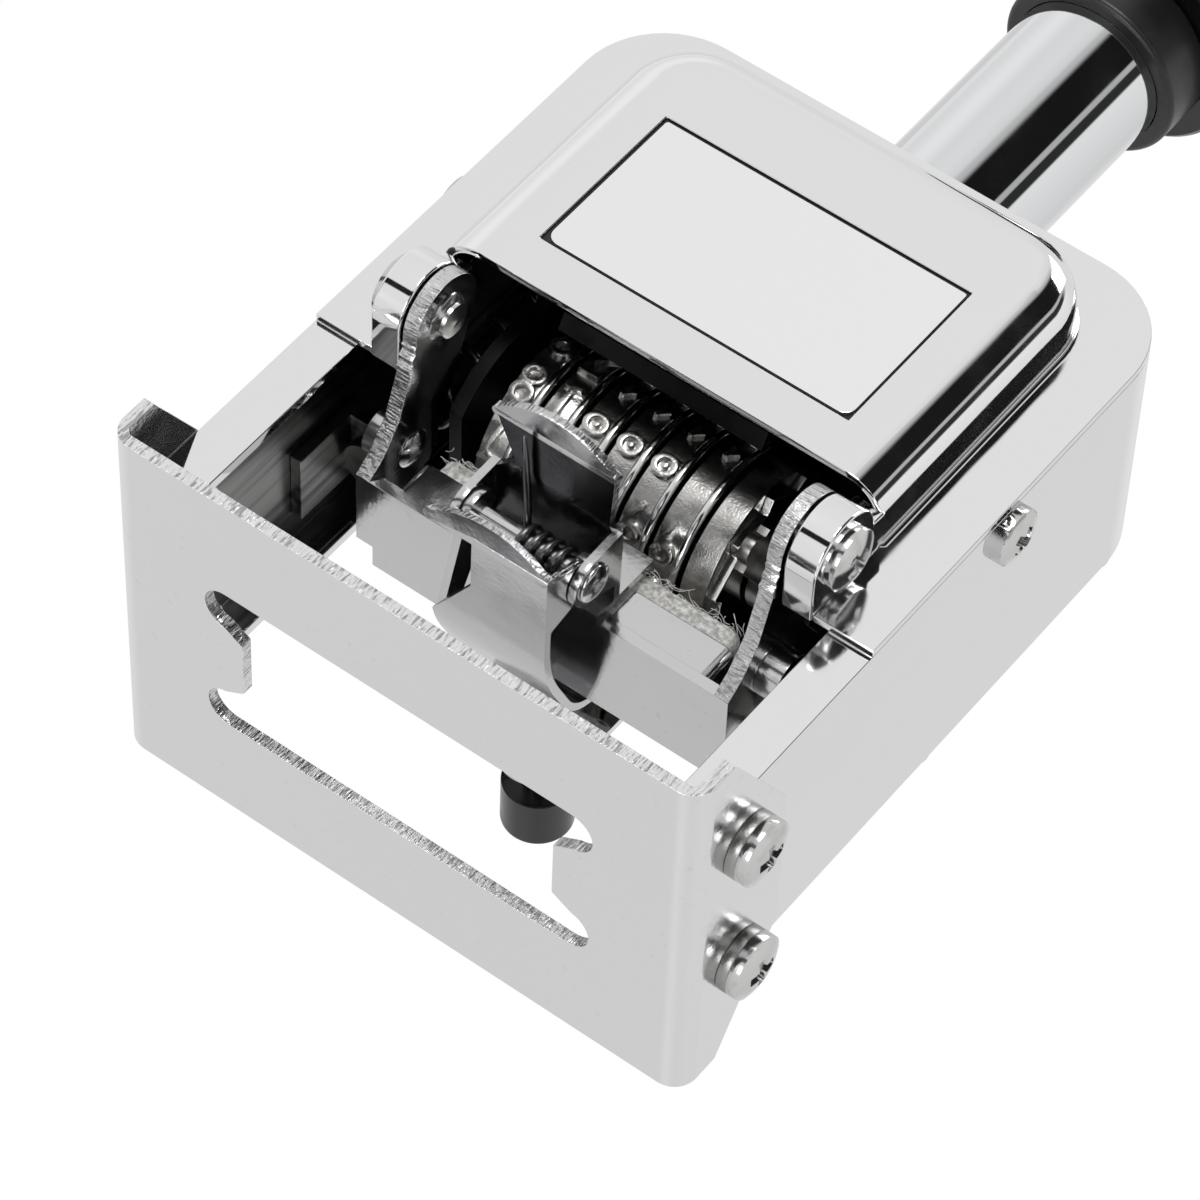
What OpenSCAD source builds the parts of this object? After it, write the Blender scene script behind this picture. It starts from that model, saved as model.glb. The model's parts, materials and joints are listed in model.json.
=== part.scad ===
// Numbering machine: a hand stamp with six stepping number wheels.
// Origin at the centre of the foot plate window, on the table. +Z up, front is -Y.

/* [Casing] */
// Foot plate width over its two ears
foot_w = 62; // [60:0.5:68]
// Foot plate depth
foot_d = 42; // [40:0.5:50]
// Sheet thickness of foot plate and casing
sheet = 1.2; // [1:0.1:1.5]
// Height of the casing top above the table
case_h = 74; // [73:0.5:84]
// Depth of the casing
case_d = 25.4; // [25.2:0.2:27]
// Outer radius of the two upper corners
corner_r = 9; // [7:0.5:12]
// Height of the ears
ear_h = 13; // [12:0.5:16]

/* [Front cover] */
// Distance the bezel stands out from the cover
bezel_out = 6.5; // [5.5:0.1:7.5]
// Height of the lower edge of the bezel
bezel_z = 36.1; // [36:0.1:38]
// Corner radius of the bezel, seen from the front
bezel_corner = 7.5; // [5:0.5:9]

/* [Plunger] */
// Radius of the shaft
shaft_r = 7.75; // [7:0.05:8]
// Height of the bright part of the shaft above the casing
shaft_up = 29.5; // [29:0.5:40]
// Largest radius of the handle knob
knob_r = 16.5; // [14:0.5:20]

/* [Wheels] */
// Height of the wheel axis at rest
wheel_z = 37.6; // [37.6:0.1:38.4]
// Radius over the digits
digit_r = 9.6; // [9.4:0.05:9.6]
// Height of a digit above its drum
digit_h = 0.7; // [0.4:0.05:0.9]

/* [Inking] */
// Free height of the felt above its tray
felt_up = 2.9; // [2:0.1:3]
// Thickness of the ink arm sheet
arm_t = 1.5; // [1.2:0.1:1.6]

/* [Hidden] */
$fn = 96;
chrome = [0.86, 0.87, 0.88];
steel = [0.70, 0.70, 0.69];
dark = [0.16, 0.16, 0.17];
black = [0.06, 0.06, 0.06];
felt = [0.20, 0.20, 0.22];
brass = [0.72, 0.58, 0.32];

// Everything across the machine keeps its share of the foot plate width
across = foot_w / 62;
fw = foot_w - 2 * sheet;
fx = fw / 2;
in_x = fx - sheet;
fy = case_d / 2;
flange = 4.6;
cover_t = 0.8;
cover_y = -fy - cover_t;
cover_z = 26.3;
bezel_x = 23.6 * across;
open_x = 20.4 * across;
panel_x = 16.2 * across;
bezel_y = cover_y - bezel_out;
bezel_top = case_h - 3.9;
bezel_r = 4;
recess = 0.4;
panel_z0 = bezel_z + 4.8;
panel_z1 = bezel_top - 11.5;
back_z0 = 30 / 74 * case_h;
tab_z0 = 42.5;
tab_z1 = 50.5;
side_screw_y = 3.3 - fy;
side_screw_z = 46.8;
pivot_y = -fy - 4.8;
pivot_z = 30.4;
lug_r = 4.3;
pivot_r = 1.7;
foot_screw_y = fy - 4.5;
ear_y = foot_screw_y + 0.3;
foot_screw_z = 7.3;
foot_screw_r = 1.6;
washer_t = 1.1;

stroke = wheel_z - digit_r;
lock_z = 20.5;
tongue_r = 6.2;
fit = 0.03;
tube_top = case_h + shaft_up + 14.5;
collar_z = case_h + shaft_up;
knob_z = collar_z + 6;

back_screw_z = [38 / 74 * case_h, 66 / 74 * case_h];
back_screw_x = in_x - 1.5;

cross_z1 = case_h - 5;
cross_z0 = cross_z1 - 4;
hub_r = fy - 1.9;
rod_x = (in_x + open_x) / 2;
rod_y = 4;
rod_r = 1.5;
seat_x = open_x + 0.4;
seat_z1 = 29.5;
seat_t = 1.5;
spring_r = 2.4;
spring_wire = 0.4;
spring_turns = 8;

arm_x0 = open_x - 0.3 - arm_t;
plate_x0 = arm_x0 - 2.4;
plate_t = 1.4;
bridge_y = 6.4;
bridge_z0 = wheel_z + 10.4;
bridge_z1 = bridge_z0 + 3.5;
shaft_pin_r = 2;
pawl_y = -8.2;
pawl_z = wheel_z + 8.9;
pawl_r = 1.2;
pitch = 0.2296 * plate_x0;
wheel_x0 = -0.796 * plate_x0;
drum_r = digit_r - digit_h;
drum_w = 0.7 * pitch;
disc_w = 0.215 * pitch;
disc_r = 9.3;
repeat_x = wheel_x0 + 6 * pitch;

tray_z = 19.7;
tray_t = 1.2;
tray_y0 = -5.2;
tray_y1 = 6;
stud_y = -4.1;
stud_z = 25.8;
stud_r = 1.3;
cup_z0 = tray_z + tray_t;
cup_z1 = stroke_bottom() - 0.3 - felt_up;
felt_z1 = stroke_bottom() - 0.3;
cup_x0 = 2.1 - arm_x0;
cup_x1 = arm_x0 - 1.6;
cup_w = 0.6;

clip_x0 = -7.6;
clip_x1 = 6.2;
clip_t = 0.8;
lip_x0 = -8.4;
lip_x1 = 4.9;
lip_y = -19.2;
lip_z = 24;
lip_out = 3;
jaw_x0 = -7;
jaw_x1 = 5.3;
jaw_y = -15.5;
jaw_z = 14;
jaw_lip = 2;
pin_y = -11.6;
pin_z = 18.9;
pin_r = 1;
ear_r = 2.5;
coil_r = 1.6;
coil_wire = 0.42;
coil_start = 73.2;
coil_sweep = 1550.7;
coil_pitch = 1.27;
coil_x0 = -1.75;

function stroke_bottom() = wheel_z - digit_r;

// A flat outline in the x-z plane, made solid from y0 to y1.
module slab_y(y0, y1) {
  translate([0, y1, 0])
    rotate([90, 0, 0])
      linear_extrude(y1 - y0)
        children();
}

// A flat outline in the y-z plane, made solid from x0 to x1.
module slab_x(x0, x1) {
  translate([x0, 0, 0])
    rotate([90, 0, 90])
      linear_extrude(x1 - x0)
        children();
}

module rod_along_x(x0, x1, y, z, r) {
  translate([x0, y, z])
    rotate([0, 90, 0])
      cylinder(h = x1 - x0, r = r);
}

module rod_along_y(y0, y1, x, z, r) {
  translate([x, y0, z])
    rotate([-90, 0, 0])
      cylinder(h = y1 - y0, r = r);
}

module both_sides() {
  children();
  mirror([1, 0, 0])
    children();
}

// Upright outline with two rounded upper corners.
module arch(w, z0, z1, r) {
  translate([-w / 2, z0])
    square([w, z1 - r - z0]);
  translate([-w / 2 + r, z0])
    square([w - 2 * r, z1 - z0]);
  for (s = [-1, 1])
    translate([s * (w / 2 - r), z1 - r])
      circle(r);
}

// Rectangle with four rounded corners, from (x0, y0) to (x1, y1).
module rounded(x0, y0, x1, y1, r) {
  translate([x0 + r, y0])
    square([x1 - x0 - 2 * r, y1 - y0]);
  translate([x0, y0 + r])
    square([x1 - x0, y1 - y0 - 2 * r]);
  for (x = [x0 + r, x1 - r])
    for (y = [y0 + r, y1 - r])
      translate([x, y])
        circle(r);
}

// Pan head with a cross recess, seated at z = 0 and pointing up.
module pan_head(r, h) {
  difference() {
    union() {
      cylinder(h = h * 0.55, r = r);
      translate([0, 0, h * 0.55])
        rotate_extrude()
          intersection() {
            square([r, h * 0.45]);
            scale_disc(r, h * 0.45);
          }
    }
    for (a = [0, 90])
      rotate([0, 0, a])
        translate([-r * 0.5, -r * 0.1, h * 0.45])
          cube([r, r * 0.2, h]);
  }
}

// Shallow cap section: a circle arc of height h over radius r.
module scale_disc(r, h) {
  big = (r * r + h * h) / (2 * h);
  translate([0, h - big])
    circle(big);
}

// Unit vector and the strip of sheet that follows a bent centre line.
function unit(v) = v / norm(v);
function left_of(v) = [-v[1], v[0]];
function turn_at(p, i) =
  let(a = i > 0 ? unit(p[i] - p[i - 1]) : unit(p[1] - p[0]))
  let(b = i < len(p) - 1 ? unit(p[i + 1] - p[i]) : a)
  let(m = unit(left_of(a) + left_of(b)))
  m / (m * left_of(b));
function strip(p, t) = concat(
  [for (i = [0:len(p) - 1]) p[i] + turn_at(p, i) * t / 2],
  [for (i = [len(p) - 1:-1:0]) p[i] - turn_at(p, i) * t / 2]);

// Saw edge from a to b with n teeth of height h on its left side.
function saw(a, b, n, h) = [for (i = [0:n - 1]) each [
  a + (b - a) * i / n,
  a + (b - a) * (i + 0.5) / n + left_of(unit(b - a)) * h]];

// Round wire along a path: one unbroken tube with flat ends.
module wire(path, r, up) {
  sides = 6;
  n = len(path);
  pts = [for (i = [0:n - 1])
    let(t = unit(path[min(i + 1, n - 1)] - path[max(i - 1, 0)]))
    let(b = unit(cross(up, t)))
    let(c = cross(t, b))
    for (k = [0:sides - 1]) path[i] + r * (cos(360 * k / sides) * b + sin(360 * k / sides) * c)];
  walls = [for (i = [0:n - 2]) for (k = [0:sides - 1])
    let(a = i * sides + k)
    let(b = i * sides + (k + 1) % sides)
    each [[a, a + sides, b], [b, a + sides, b + sides]]];
  first = [[for (k = [0:sides - 1]) k]];
  last = [[for (k = [sides - 1:-1:0]) (n - 1) * sides + k]];
  polyhedron(points = pts, faces = concat(first, walls, last));
}

// Casing: folded sheet, open below, with flanges round its front and rear edges.
module frame() {
  color(chrome)
    difference() {
      slab_y(-fy, fy)
        arch(fw, sheet, case_h, corner_r);
      slab_y(-fy + sheet, fy - sheet)
        arch(fw - 2 * sheet, 0, case_h - sheet, corner_r - sheet);
      slab_y(-fy - 1, fy + 1)
        arch(fw - 2 * flange, 0, case_h - flange, max(corner_r - flange, 1));
      translate([0, 0, case_h - sheet - 1])
        cylinder(h = sheet + 2, r = shaft_r + 0.85 + fit);
      for (y = [-foot_screw_y, foot_screw_y])
        rod_along_x(-fx - 1, fx + 1, y, foot_screw_z, foot_screw_r + fit);
      rod_along_x(-fx - 1, fx + 1, side_screw_y, side_screw_z, 1.5 + fit);
      both_sides()
        translate([in_x - 1, -fy - 1, tab_z0 - 0.5])
          cube([1, sheet + 1, tab_z1 - tab_z0 + 1]);
      both_sides()
        translate([fx, 0, sheet])
          rotate([0, 45, 0])
            cube([0.8, case_d + 2, 0.8], center = true);
      both_sides()
        for (z = back_screw_z)
          rod_along_y(0, fy + 1, back_screw_x, z, 1.2 + fit);
    }
}

// Outline of the bezel, drawn in by g on every outer face.
module bezel_form(g, z0) {
  hw = bezel_x - g;
  yf = bezel_y + g;
  zt = bezel_top - g;
  r = bezel_r - g;
  intersection() {
    translate([0, 0, z0])
      linear_extrude(zt - z0)
        union() {
          translate([-hw, yf + r])
            square([2 * hw, -fy - yf - r]);
          translate([-hw + r, yf])
            square([2 * (hw - r), r + 1]);
          for (s = [-1, 1])
            translate([s * (hw - r), yf + r])
              circle(r);
        }
    slab_x(-30, 30)
      union() {
        translate([yf, z0])
          square([-fy - yf, zt - r - z0]);
        translate([yf + r, z0])
          square([-fy - yf - r, zt - z0]);
        translate([yf + r, zt - r])
          circle(r);
      }
    slab_y(-40, 0)
      arch(2 * hw, z0, zt, bezel_corner - g);
  }
}

// Front cover: flush with the casing, hollow bezel open below, lugs and side tabs.
module front_cover() {
  color(chrome)
    difference() {
      union() {
        difference() {
          union() {
            slab_y(cover_y, -fy)
              difference() {
                arch(fw, cover_z, case_h, corner_r);
                translate([-open_x, cover_z - 1])
                  square([2 * open_x, bezel_z - cover_z + 1]);
              }
            bezel_form(0, bezel_z);
          }
          bezel_form(cover_t, bezel_z - 1);
          translate([-bezel_x + cover_t, cover_y - 0.5, bezel_z - 1])
            cube([2 * (bezel_x - cover_t), cover_t + 1, bezel_top - bezel_z - cover_t - bezel_corner]);
          translate([-panel_x - 0.6, bezel_y - 1, panel_z0 - 0.1])
            cube([2 * panel_x + 0.7, 1 + recess, panel_z1 - panel_z0 + 0.7]);
        }
        both_sides()
          slab_x(open_x, bezel_x)
            union() {
              translate([pivot_y, pivot_z])
                circle(lug_r);
              translate([pivot_y, pivot_z - lug_r])
                square([cover_y + 0.3 - pivot_y, bezel_z + 0.3 - pivot_z + lug_r]);
            }
        both_sides()
          translate([in_x - cover_t, cover_y, tab_z0])
            cube([cover_t, side_screw_y + 3.4 - cover_y, tab_z1 - tab_z0]);
      }
      rod_along_x(-30, 30, pivot_y, pivot_z, pivot_r + fit);
      rod_along_x(-40, 40, side_screw_y, side_screw_z, 1.5 + fit);
    }
}

// Bare plate in the recess of the bezel, flush with its face.
module name_panel() {
  color(chrome)
    slab_y(bezel_y, bezel_y + recess)
      rounded(-panel_x, panel_z0, panel_x, panel_z1, 1.2);
}

// Rear plate with a central tongue that carries the lock.
module back_plate() {
  color(chrome)
    difference() {
      slab_y(fy, fy + cover_t)
        union() {
          arch(fw - 1, back_z0, case_h - 0.5, corner_r - 0.5);
          translate([-tongue_r, lock_z])
            square([2 * tongue_r, back_z0 + 2 - lock_z]);
          translate([0, lock_z])
            circle(tongue_r);
        }
      rod_along_y(fy - 1, fy + 2, 0, lock_z, 2.5);
      both_sides()
        for (z = back_screw_z)
          rod_along_y(fy - 1, fy + 2, back_screw_x, z, 1.2 + fit);
    }
}

// Window in the foot plate with four rounded corner pockets.
module window() {
  x1 = 16.7 * across;
  translate([-x1, -9.1])
    square([2 * x1, 18.2]);
  for (sx = [-1, 1])
    for (sy = [-1, 1])
      scale_flip(sx, sy)
        translate([x1, 0]) {
          translate([1.7, 6.8])
            circle(2.3);
          polygon([[-1.7, 3.3], [0, 3.3], [3.5, 5.4], [1.7, 9.1], [-1.7, 9.1]]);
        }
}

module scale_flip(sx, sy) {
  mirror([sx < 0 ? 1 : 0, 0])
    mirror([0, sy < 0 ? 1 : 0])
      children();
}

// Foot plate: flat sheet with a window and two ears bent up.
module foot_plate() {
  bend = 0.6;
  color(chrome)
    difference() {
      union() {
        difference() {
          intersection() {
            translate([0, foot_d / 2, 0])
              rotate([90, 0, 0])
                linear_extrude(foot_d)
                  difference() {
                    union() {
                      rounded(-foot_w / 2, 0, foot_w / 2, 6, 2.4);
                      for (s = [-1, 1])
                        translate([s * (foot_w / 2 - sheet / 2), 3 + ear_h / 2])
                          square([sheet, ear_h - 6 + 6], center = true);
                    }
                    difference() {
                      translate([-fx, sheet])
                        square([fw, ear_h + 10]);
                      for (s = [-1, 1])
                        difference() {
                          translate([s * (fx - bend / 2), sheet + bend / 2])
                            square([bend, bend], center = true);
                          translate([s * (fx - bend), sheet + bend])
                            circle(bend, $fn = 48);
                        }
                    }
                  }
            slab_x(-foot_w, foot_w)
              polygon([[-foot_d / 2, -1], [foot_d / 2, -1], [foot_d / 2, 5], [ear_y, ear_h], [-ear_y, ear_h],
                [-foot_d / 2, 5]]);
          }
          translate([0, 0, -1])
            linear_extrude(sheet + 2)
              window();
        }
      }
      for (y = [-foot_screw_y, foot_screw_y])
        rod_along_x(-foot_w, foot_w, y, foot_screw_z, foot_screw_r + fit);
    }
}

module foot_screws() {
  color(steel)
    both_sides()
      for (y = [-foot_screw_y, foot_screw_y])
        union() {
          rod_along_x(fx - 3.3, foot_w / 2 + washer_t, y, foot_screw_z, foot_screw_r);
          translate([foot_w / 2 + washer_t, y, foot_screw_z])
            rotate([0, 90, 0])
              pan_head(3.2, 1.7);
        }
}

module foot_washers() {
  color(steel)
    both_sides()
      for (y = [-foot_screw_y, foot_screw_y])
        difference() {
          rod_along_x(foot_w / 2, foot_w / 2 + washer_t, y, foot_screw_z, 3.2);
          rod_along_x(foot_w / 2 - 1, foot_w / 2 + 2, y, foot_screw_z, foot_screw_r + fit);
        }
}

module side_screws() {
  color(steel)
    both_sides() {
      rod_along_x(in_x - 1.6, fx, side_screw_y, side_screw_z, 1.5);
      translate([fx, side_screw_y, side_screw_z])
        rotate([0, 90, 0])
          rotate([0, 0, 45])
            pan_head(2.8, 1.6);
    }
}

// Bush that guides the shaft in the casing top.
module top_bush() {
  color(steel)
    rotate_extrude()
      difference() {
        union() {
          translate([0, case_h - sheet])
            square([shaft_r + 0.85, sheet + 0.5]);
          translate([0, case_h])
            square([shaft_r + 2.25, 1.1]);
        }
        translate([-1, case_h - sheet - 1])
          square([shaft_r + 0.05 + 1, 5]);
      }
}

// Space inside the casing, kept g clear of its walls.
module inner_space(g) {
  slab_y(-fy, fy)
    arch(fw - 2 * sheet - 2 * g, 0, case_h - sheet - g, corner_r - sheet - g);
}

// Headed rods from the spring seats up to the casing top.
module guide_rods() {
  z0 = seat_z1 - seat_t - 1.4;
  color(steel)
    both_sides()
      intersection() {
        translate([rod_x, rod_y, z0])
          union() {
            cylinder(h = case_h, r = rod_r);
            cylinder(h = 1.4, r = 2.6);
          }
        inner_space(0.02);
      }
}

// Brackets on the side walls that carry the return springs.
module spring_seats() {
  color(steel)
    both_sides()
      difference() {
        union() {
          translate([seat_x, 0, seat_z1 - seat_t])
            cube([in_x - seat_x, 8, seat_t]);
          translate([in_x - 1.2, 0, 21])
            cube([1.2, 8, seat_z1 - 21]);
        }
        translate([rod_x, rod_y, 20])
          cylinder(h = 20, r = rod_r + fit);
      }
}

// Two return springs, wound as one unbroken tube each.
module return_springs() {
  z0 = seat_z1 + spring_wire + 0.02;
  z1 = cross_z0 - spring_wire - 0.02;
  steps = 8 * spring_turns;
  coil = [for (i = [0:steps]) [spring_r * cos(45 * i), spring_r * sin(45 * i), z0 + (z1 - z0) * i / steps]];
  path = concat([coil[0] - [0, 2 * spring_wire, 0]], coil, [coil[steps] + [0, 2 * spring_wire, 0]]);
  echo(return_spring_gap = (z1 - z0) / spring_turns - 2 * spring_wire);
  color(steel)
    both_sides()
      translate([rod_x, rod_y, 0])
        wire(path, spring_wire, [0, 0, 1]);
}

// Pivot screws: through lug and arm, headed outside and riveted over inside.
module pivot_screws() {
  color(steel)
    both_sides() {
      rod_along_x(arm_x0 - 0.9, bezel_x, pivot_y, pivot_z, pivot_r);
      translate([bezel_x, pivot_y, pivot_z])
        rotate([0, 90, 0])
          rotate([0, 0, 30])
            pan_head(3, 1.6);
      translate([arm_x0, pivot_y, pivot_z])
        rotate([0, -90, 0])
          rotate_extrude()
            intersection() {
              square([2.4, 1]);
              scale_disc(2.4, 1);
            }
    }
}

module back_screws() {
  color(steel)
    both_sides()
      for (z = back_screw_z) {
        rod_along_y(fy - 3, fy + cover_t, back_screw_x, z, 1.2);
        translate([back_screw_x, fy + cover_t, z])
          rotate([-90, 0, 0])
            pan_head(2.2, 1.2);
      }
}

module lock_barrel() {
  color(chrome)
    translate([0, 0, lock_z])
      rotate([-90, 0, 0])
        rotate_extrude()
          difference() {
            union() {
              translate([0, fy + cover_t])
                square([4, 5.5]);
              translate([0, fy - 0.4])
                square([2.5 - fit, 2]);
            }
            translate([-1, 0])
              square([1 + 1.4 + fit, 40]);
          }
}

module lock_pin() {
  color(steel)
    rod_along_y(fy - 1.7, fy + 15.3, 0, lock_z, 1.4);
}

module lock_knob() {
  color(black)
    translate([0, 0, lock_z])
      rotate([-90, 0, 0])
        rotate_extrude()
          difference() {
            intersection() {
              translate([0, fy + 10.3])
                square([3.4, 7]);
              translate([0, fy + 12.9])
                circle(4.4);
            }
            translate([-1, fy + 5])
              square([1 + 1.4 + 0.01, 10.3]);
          }
}

// Bright shaft, hollow above the head, with a spigot into the bridge.
module plunger_tube() {
  color(chrome)
    difference() {
      union() {
        translate([0, 0, bridge_z1])
          cylinder(h = tube_top - bridge_z1, r = shaft_r);
        translate([0, 0, bridge_z0])
          cylinder(h = 5, r = 4);
      }
      translate([0, 0, bridge_z1 + 4])
        cylinder(h = tube_top - bridge_z1, r = shaft_r - 1.4);
      rod_along_y(-20, 20, 0, (cross_z0 + cross_z1) / 2, 1.25 + fit);
    }
}

module handle_collar() {
  color(dark)
    rotate_extrude()
      difference() {
        translate([0, collar_z])
          rounded_bar(9.4, 6, 0.6);
        translate([-1, collar_z - 1])
          square([shaft_r + 0.02 + 1, 10]);
      }
}

// Half section of a turned ring: radius w, height h, outer edges rounded by r.
module rounded_bar(w, h, r) {
  square([w - r, h]);
  translate([0, r])
    square([w, h - 2 * r]);
  for (y = [r, h - r])
    translate([w - r, y])
      circle(r);
}

module handle_knob() {
  k = knob_r / 16.5;
  color(black)
    difference() {
      rotate_extrude()
        translate([0, knob_z])
          polygon([[0, 0], [11.6, 0], [12, 0.4], [12, 1.9], [11.5, 2.4], [10.3, 3.6], [9.5, 6], [9.3, 9], [9.7, 13],
            [11.2 * k, 18], [13.3 * k, 23], [15.2 * k, 28], [16.2 * k, 32], [16.5 * k, 35], [16.2 * k, 38],
            [15.1 * k, 41], [13 * k, 43.3], [9.8 * k, 44.9], [5.5 * k, 45.7], [0, 45.9]]);
      translate([0, 0, knob_z - 1])
        cylinder(h = tube_top - knob_z + 1, r = shaft_r + 0.02);
    }
}

// Crosshead: clamped on the shaft, slides on the guide rods.
module crosshead() {
  color(steel)
    difference() {
      intersection() {
        translate([0, 0, cross_z0])
          linear_extrude(cross_z1 - cross_z0)
            union() {
              circle(hub_r);
              translate([-rod_x + 0.5, rod_y - 3.4])
                square([2 * rod_x - 1, 6.8]);
              for (s = [-1, 1])
                translate([s * (rod_x - 0.5), rod_y])
                  circle(3.4);
            }
        inner_space(0.5);
      }
      translate([0, 0, cross_z0 - 1])
        cylinder(h = 10, r = shaft_r + 0.02);
      for (s = [-1, 1])
        translate([s * rod_x, rod_y, cross_z0 - 1])
          cylinder(h = 10, r = rod_r + 0.06);
      rod_along_y(-20, 20, 0, (cross_z0 + cross_z1) / 2, 1.25 + fit);
    }
}

module crosshead_pin() {
  color(steel)
    rod_along_y(0.2 - hub_r, hub_r - 0.2, 0, (cross_z0 + cross_z1) / 2, 1.25);
}

// Bridge over the wheels, with a rear lug that takes the lock pin at full stroke.
module head_bridge() {
  color(steel)
    difference() {
      union() {
        translate([-plate_x0, -bridge_y, bridge_z0])
          cube([2 * plate_x0, bridge_y + 7, bridge_z1 - bridge_z0]);
        translate([-5, 6.9, bridge_z0])
          cube([10, 3.6, bridge_z1 - bridge_z0]);
        translate([-5, 9, lock_z + stroke - 3])
          cube([10, 1.5, bridge_z1 - lock_z - stroke + 3]);
      }
      translate([0, 0, bridge_z0 - 1])
        cylinder(h = 10, r = 4.02);
      rod_along_y(0, 12, 0, lock_z + stroke, 1.7);
    }
}

// Side plate outline: round over the wheels, cut flat below, with a lobe for the pawl shaft.
module head_plate(x0) {
  difference() {
    slab_x(x0, x0 + plate_t)
      difference() {
        union() {
          translate([0, wheel_z])
            circle(10.2);
          translate([-7, wheel_z])
            square([14, bridge_z1 - wheel_z]);
          translate([pawl_y, pawl_z])
            circle(2.4);
          polygon([[-7, bridge_z1], [-10.1, pawl_z + 1.5], [-10.4, pawl_z - 1.5], [-9.6, wheel_z + 3],
            [0, wheel_z]]);
        }
        translate([-20, wheel_z - 20])
          square([40, 12]);
      }
    rod_along_x(x0 - 1, x0 + 3, 0, wheel_z, shaft_pin_r + 0.02);
    rod_along_x(x0 - 1, x0 + 3, pawl_y, pawl_z, pawl_r + 0.02);
  }
}

module head_plate_left() {
  color(steel)
    head_plate(-plate_x0 - plate_t);
}

module head_plate_right() {
  color(steel)
    head_plate(plate_x0);
}

module wheel_shaft() {
  color(steel)
    rod_along_x(-plate_x0 - plate_t - 0.7, plate_x0 + plate_t + 0.7, 0, wheel_z, shaft_pin_r);
}

module shaft_nuts() {
  color(steel)
    both_sides()
      difference() {
        translate([plate_x0 + plate_t, 0, wheel_z])
          rotate([0, 90, 0])
            cylinder(h = 0.7, r = 3.4, $fn = 6);
        rod_along_x(10, 30, 0, wheel_z, shaft_pin_r + 0.02);
      }
}

module pawl_shaft() {
  color(steel)
    rod_along_x(-plate_x0 - plate_t, plate_x0 + plate_t, pawl_y, pawl_z, pawl_r);
}

// Comb of leaf springs that holds each wheel on its digit.
module detent_springs() {
  color(brass)
    union() {
      translate([1.2 - plate_x0, 2, bridge_z0 - 0.4])
        cube([2 * plate_x0 - 2.4, 5, 0.4]);
      for (i = [0:5])
        slab_x(wheel_x0 + (i - 0.24) * pitch, wheel_x0 + (i + 0.24) * pitch)
          polygon(strip([[6, bridge_z0 - 0.2], [7.3, bridge_z0 - 0.25], [8, bridge_z0 - 1.6],
            [8.55, wheel_z + 6]], 0.4));
    }
}

// One digit, raised towards -z at the bottom of its wheel; u across, v round the wheel.
module bar(u0, v0, u1, v1) {
  w = 0.5;
  d = [u1 - u0, v1 - v0];
  translate([u0, v0, -digit_r - 0.5])
    rotate([0, 0, atan2(d[1], d[0])])
      translate([-w / 2, -w / 2, 0])
        cube([norm(d) + w, w, 1.6]);
}

module ring(v, r) {
  translate([0, v, -digit_r - 0.5])
    difference() {
      cylinder(h = 1.6, r = r, $fn = 40);
      translate([0, 0, -1])
        cylinder(h = 4, r = r - 0.5, $fn = 40);
    }
}

module digit(n) {
  if (n == 0) {
    ring(0, 1.2);
    translate([0, 0, -digit_r - 0.5])
      cylinder(h = 1.6, r = 0.32, $fn = 32);
  }
  if (n == 1) {
    bar(0, -1.9, 0, 1.9);
    bar(-0.6, -1.9, 0.6, -1.9);
    bar(0, 1.9, -0.6, 1.3);
  }
  if (n == 2) {
    bar(-0.8, 1.9, 0.8, 1.9);
    bar(0.8, 1.9, 0.8, 0.3);
    bar(0.8, 0.3, -0.8, -1.9);
    bar(-0.8, -1.9, 0.8, -1.9);
  }
  if (n == 3) {
    bar(-0.8, 1.9, 0.8, 1.9);
    bar(0.8, 1.9, 0.8, -1.9);
    bar(-0.4, 0, 0.8, 0);
    bar(-0.8, -1.9, 0.8, -1.9);
  }
  if (n == 4) {
    bar(0.4, -1.9, 0.4, 1.9);
    bar(0.4, 1.9, -0.8, -0.6);
    bar(-0.8, -0.6, 0.9, -0.6);
  }
  if (n == 5) {
    bar(-0.8, 1.9, 0.8, 1.9);
    bar(-0.8, 1.9, -0.8, 0.2);
    bar(-0.8, 0.2, 0.8, 0.2);
    bar(0.8, 0.2, 0.8, -1.9);
    bar(-0.8, -1.9, 0.8, -1.9);
  }
  if (n == 6) {
    ring(-0.95, 1.15);
    bar(-0.9, -0.9, 0.2, 1.9);
  }
  if (n == 7) {
    bar(-0.8, 1.9, 0.8, 1.9);
    bar(0.8, 1.9, -0.3, -1.9);
  }
  if (n == 8) {
    ring(-1.05, 1.15);
    ring(1.05, 1.15);
  }
  if (n == 9) {
    ring(0.95, 1.15);
    bar(0.9, 0.9, -0.2, -1.9);
  }
}

// Number wheel: drum with ten digits; first is the digit that faces the front.
module number_wheel(i, first) {
  translate([wheel_x0 + i * pitch, 0, wheel_z])
    difference() {
      union() {
        rod_along_x(-drum_w / 2, drum_w / 2, 0, 0, drum_r);
        intersection() {
          rod_along_x(-drum_w / 2, drum_w / 2, 0, 0, digit_r);
          for (k = [0:9])
            if (!(i == 5 && k == 1))
              rotate([-36 - 36 * k, 0, 0])
                mirror([1, 0, 0])
                  digit((first + k + 9) % 10);
        }
      }
      rod_along_x(-drum_w, drum_w, 0, 0, shaft_pin_r + 0.05);
    }
}

module number_wheel_1() {
  color(steel)
    number_wheel(0, 8);
}

module number_wheel_2() {
  color(steel)
    number_wheel(1, 1);
}

module number_wheel_3() {
  color(steel)
    number_wheel(2, 0);
}

module number_wheel_4() {
  color(steel)
    number_wheel(3, 0);
}

module number_wheel_5() {
  color(steel)
    number_wheel(4, 0);
}

module number_wheel_6() {
  color(steel)
    number_wheel(5, 0);
}

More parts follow.
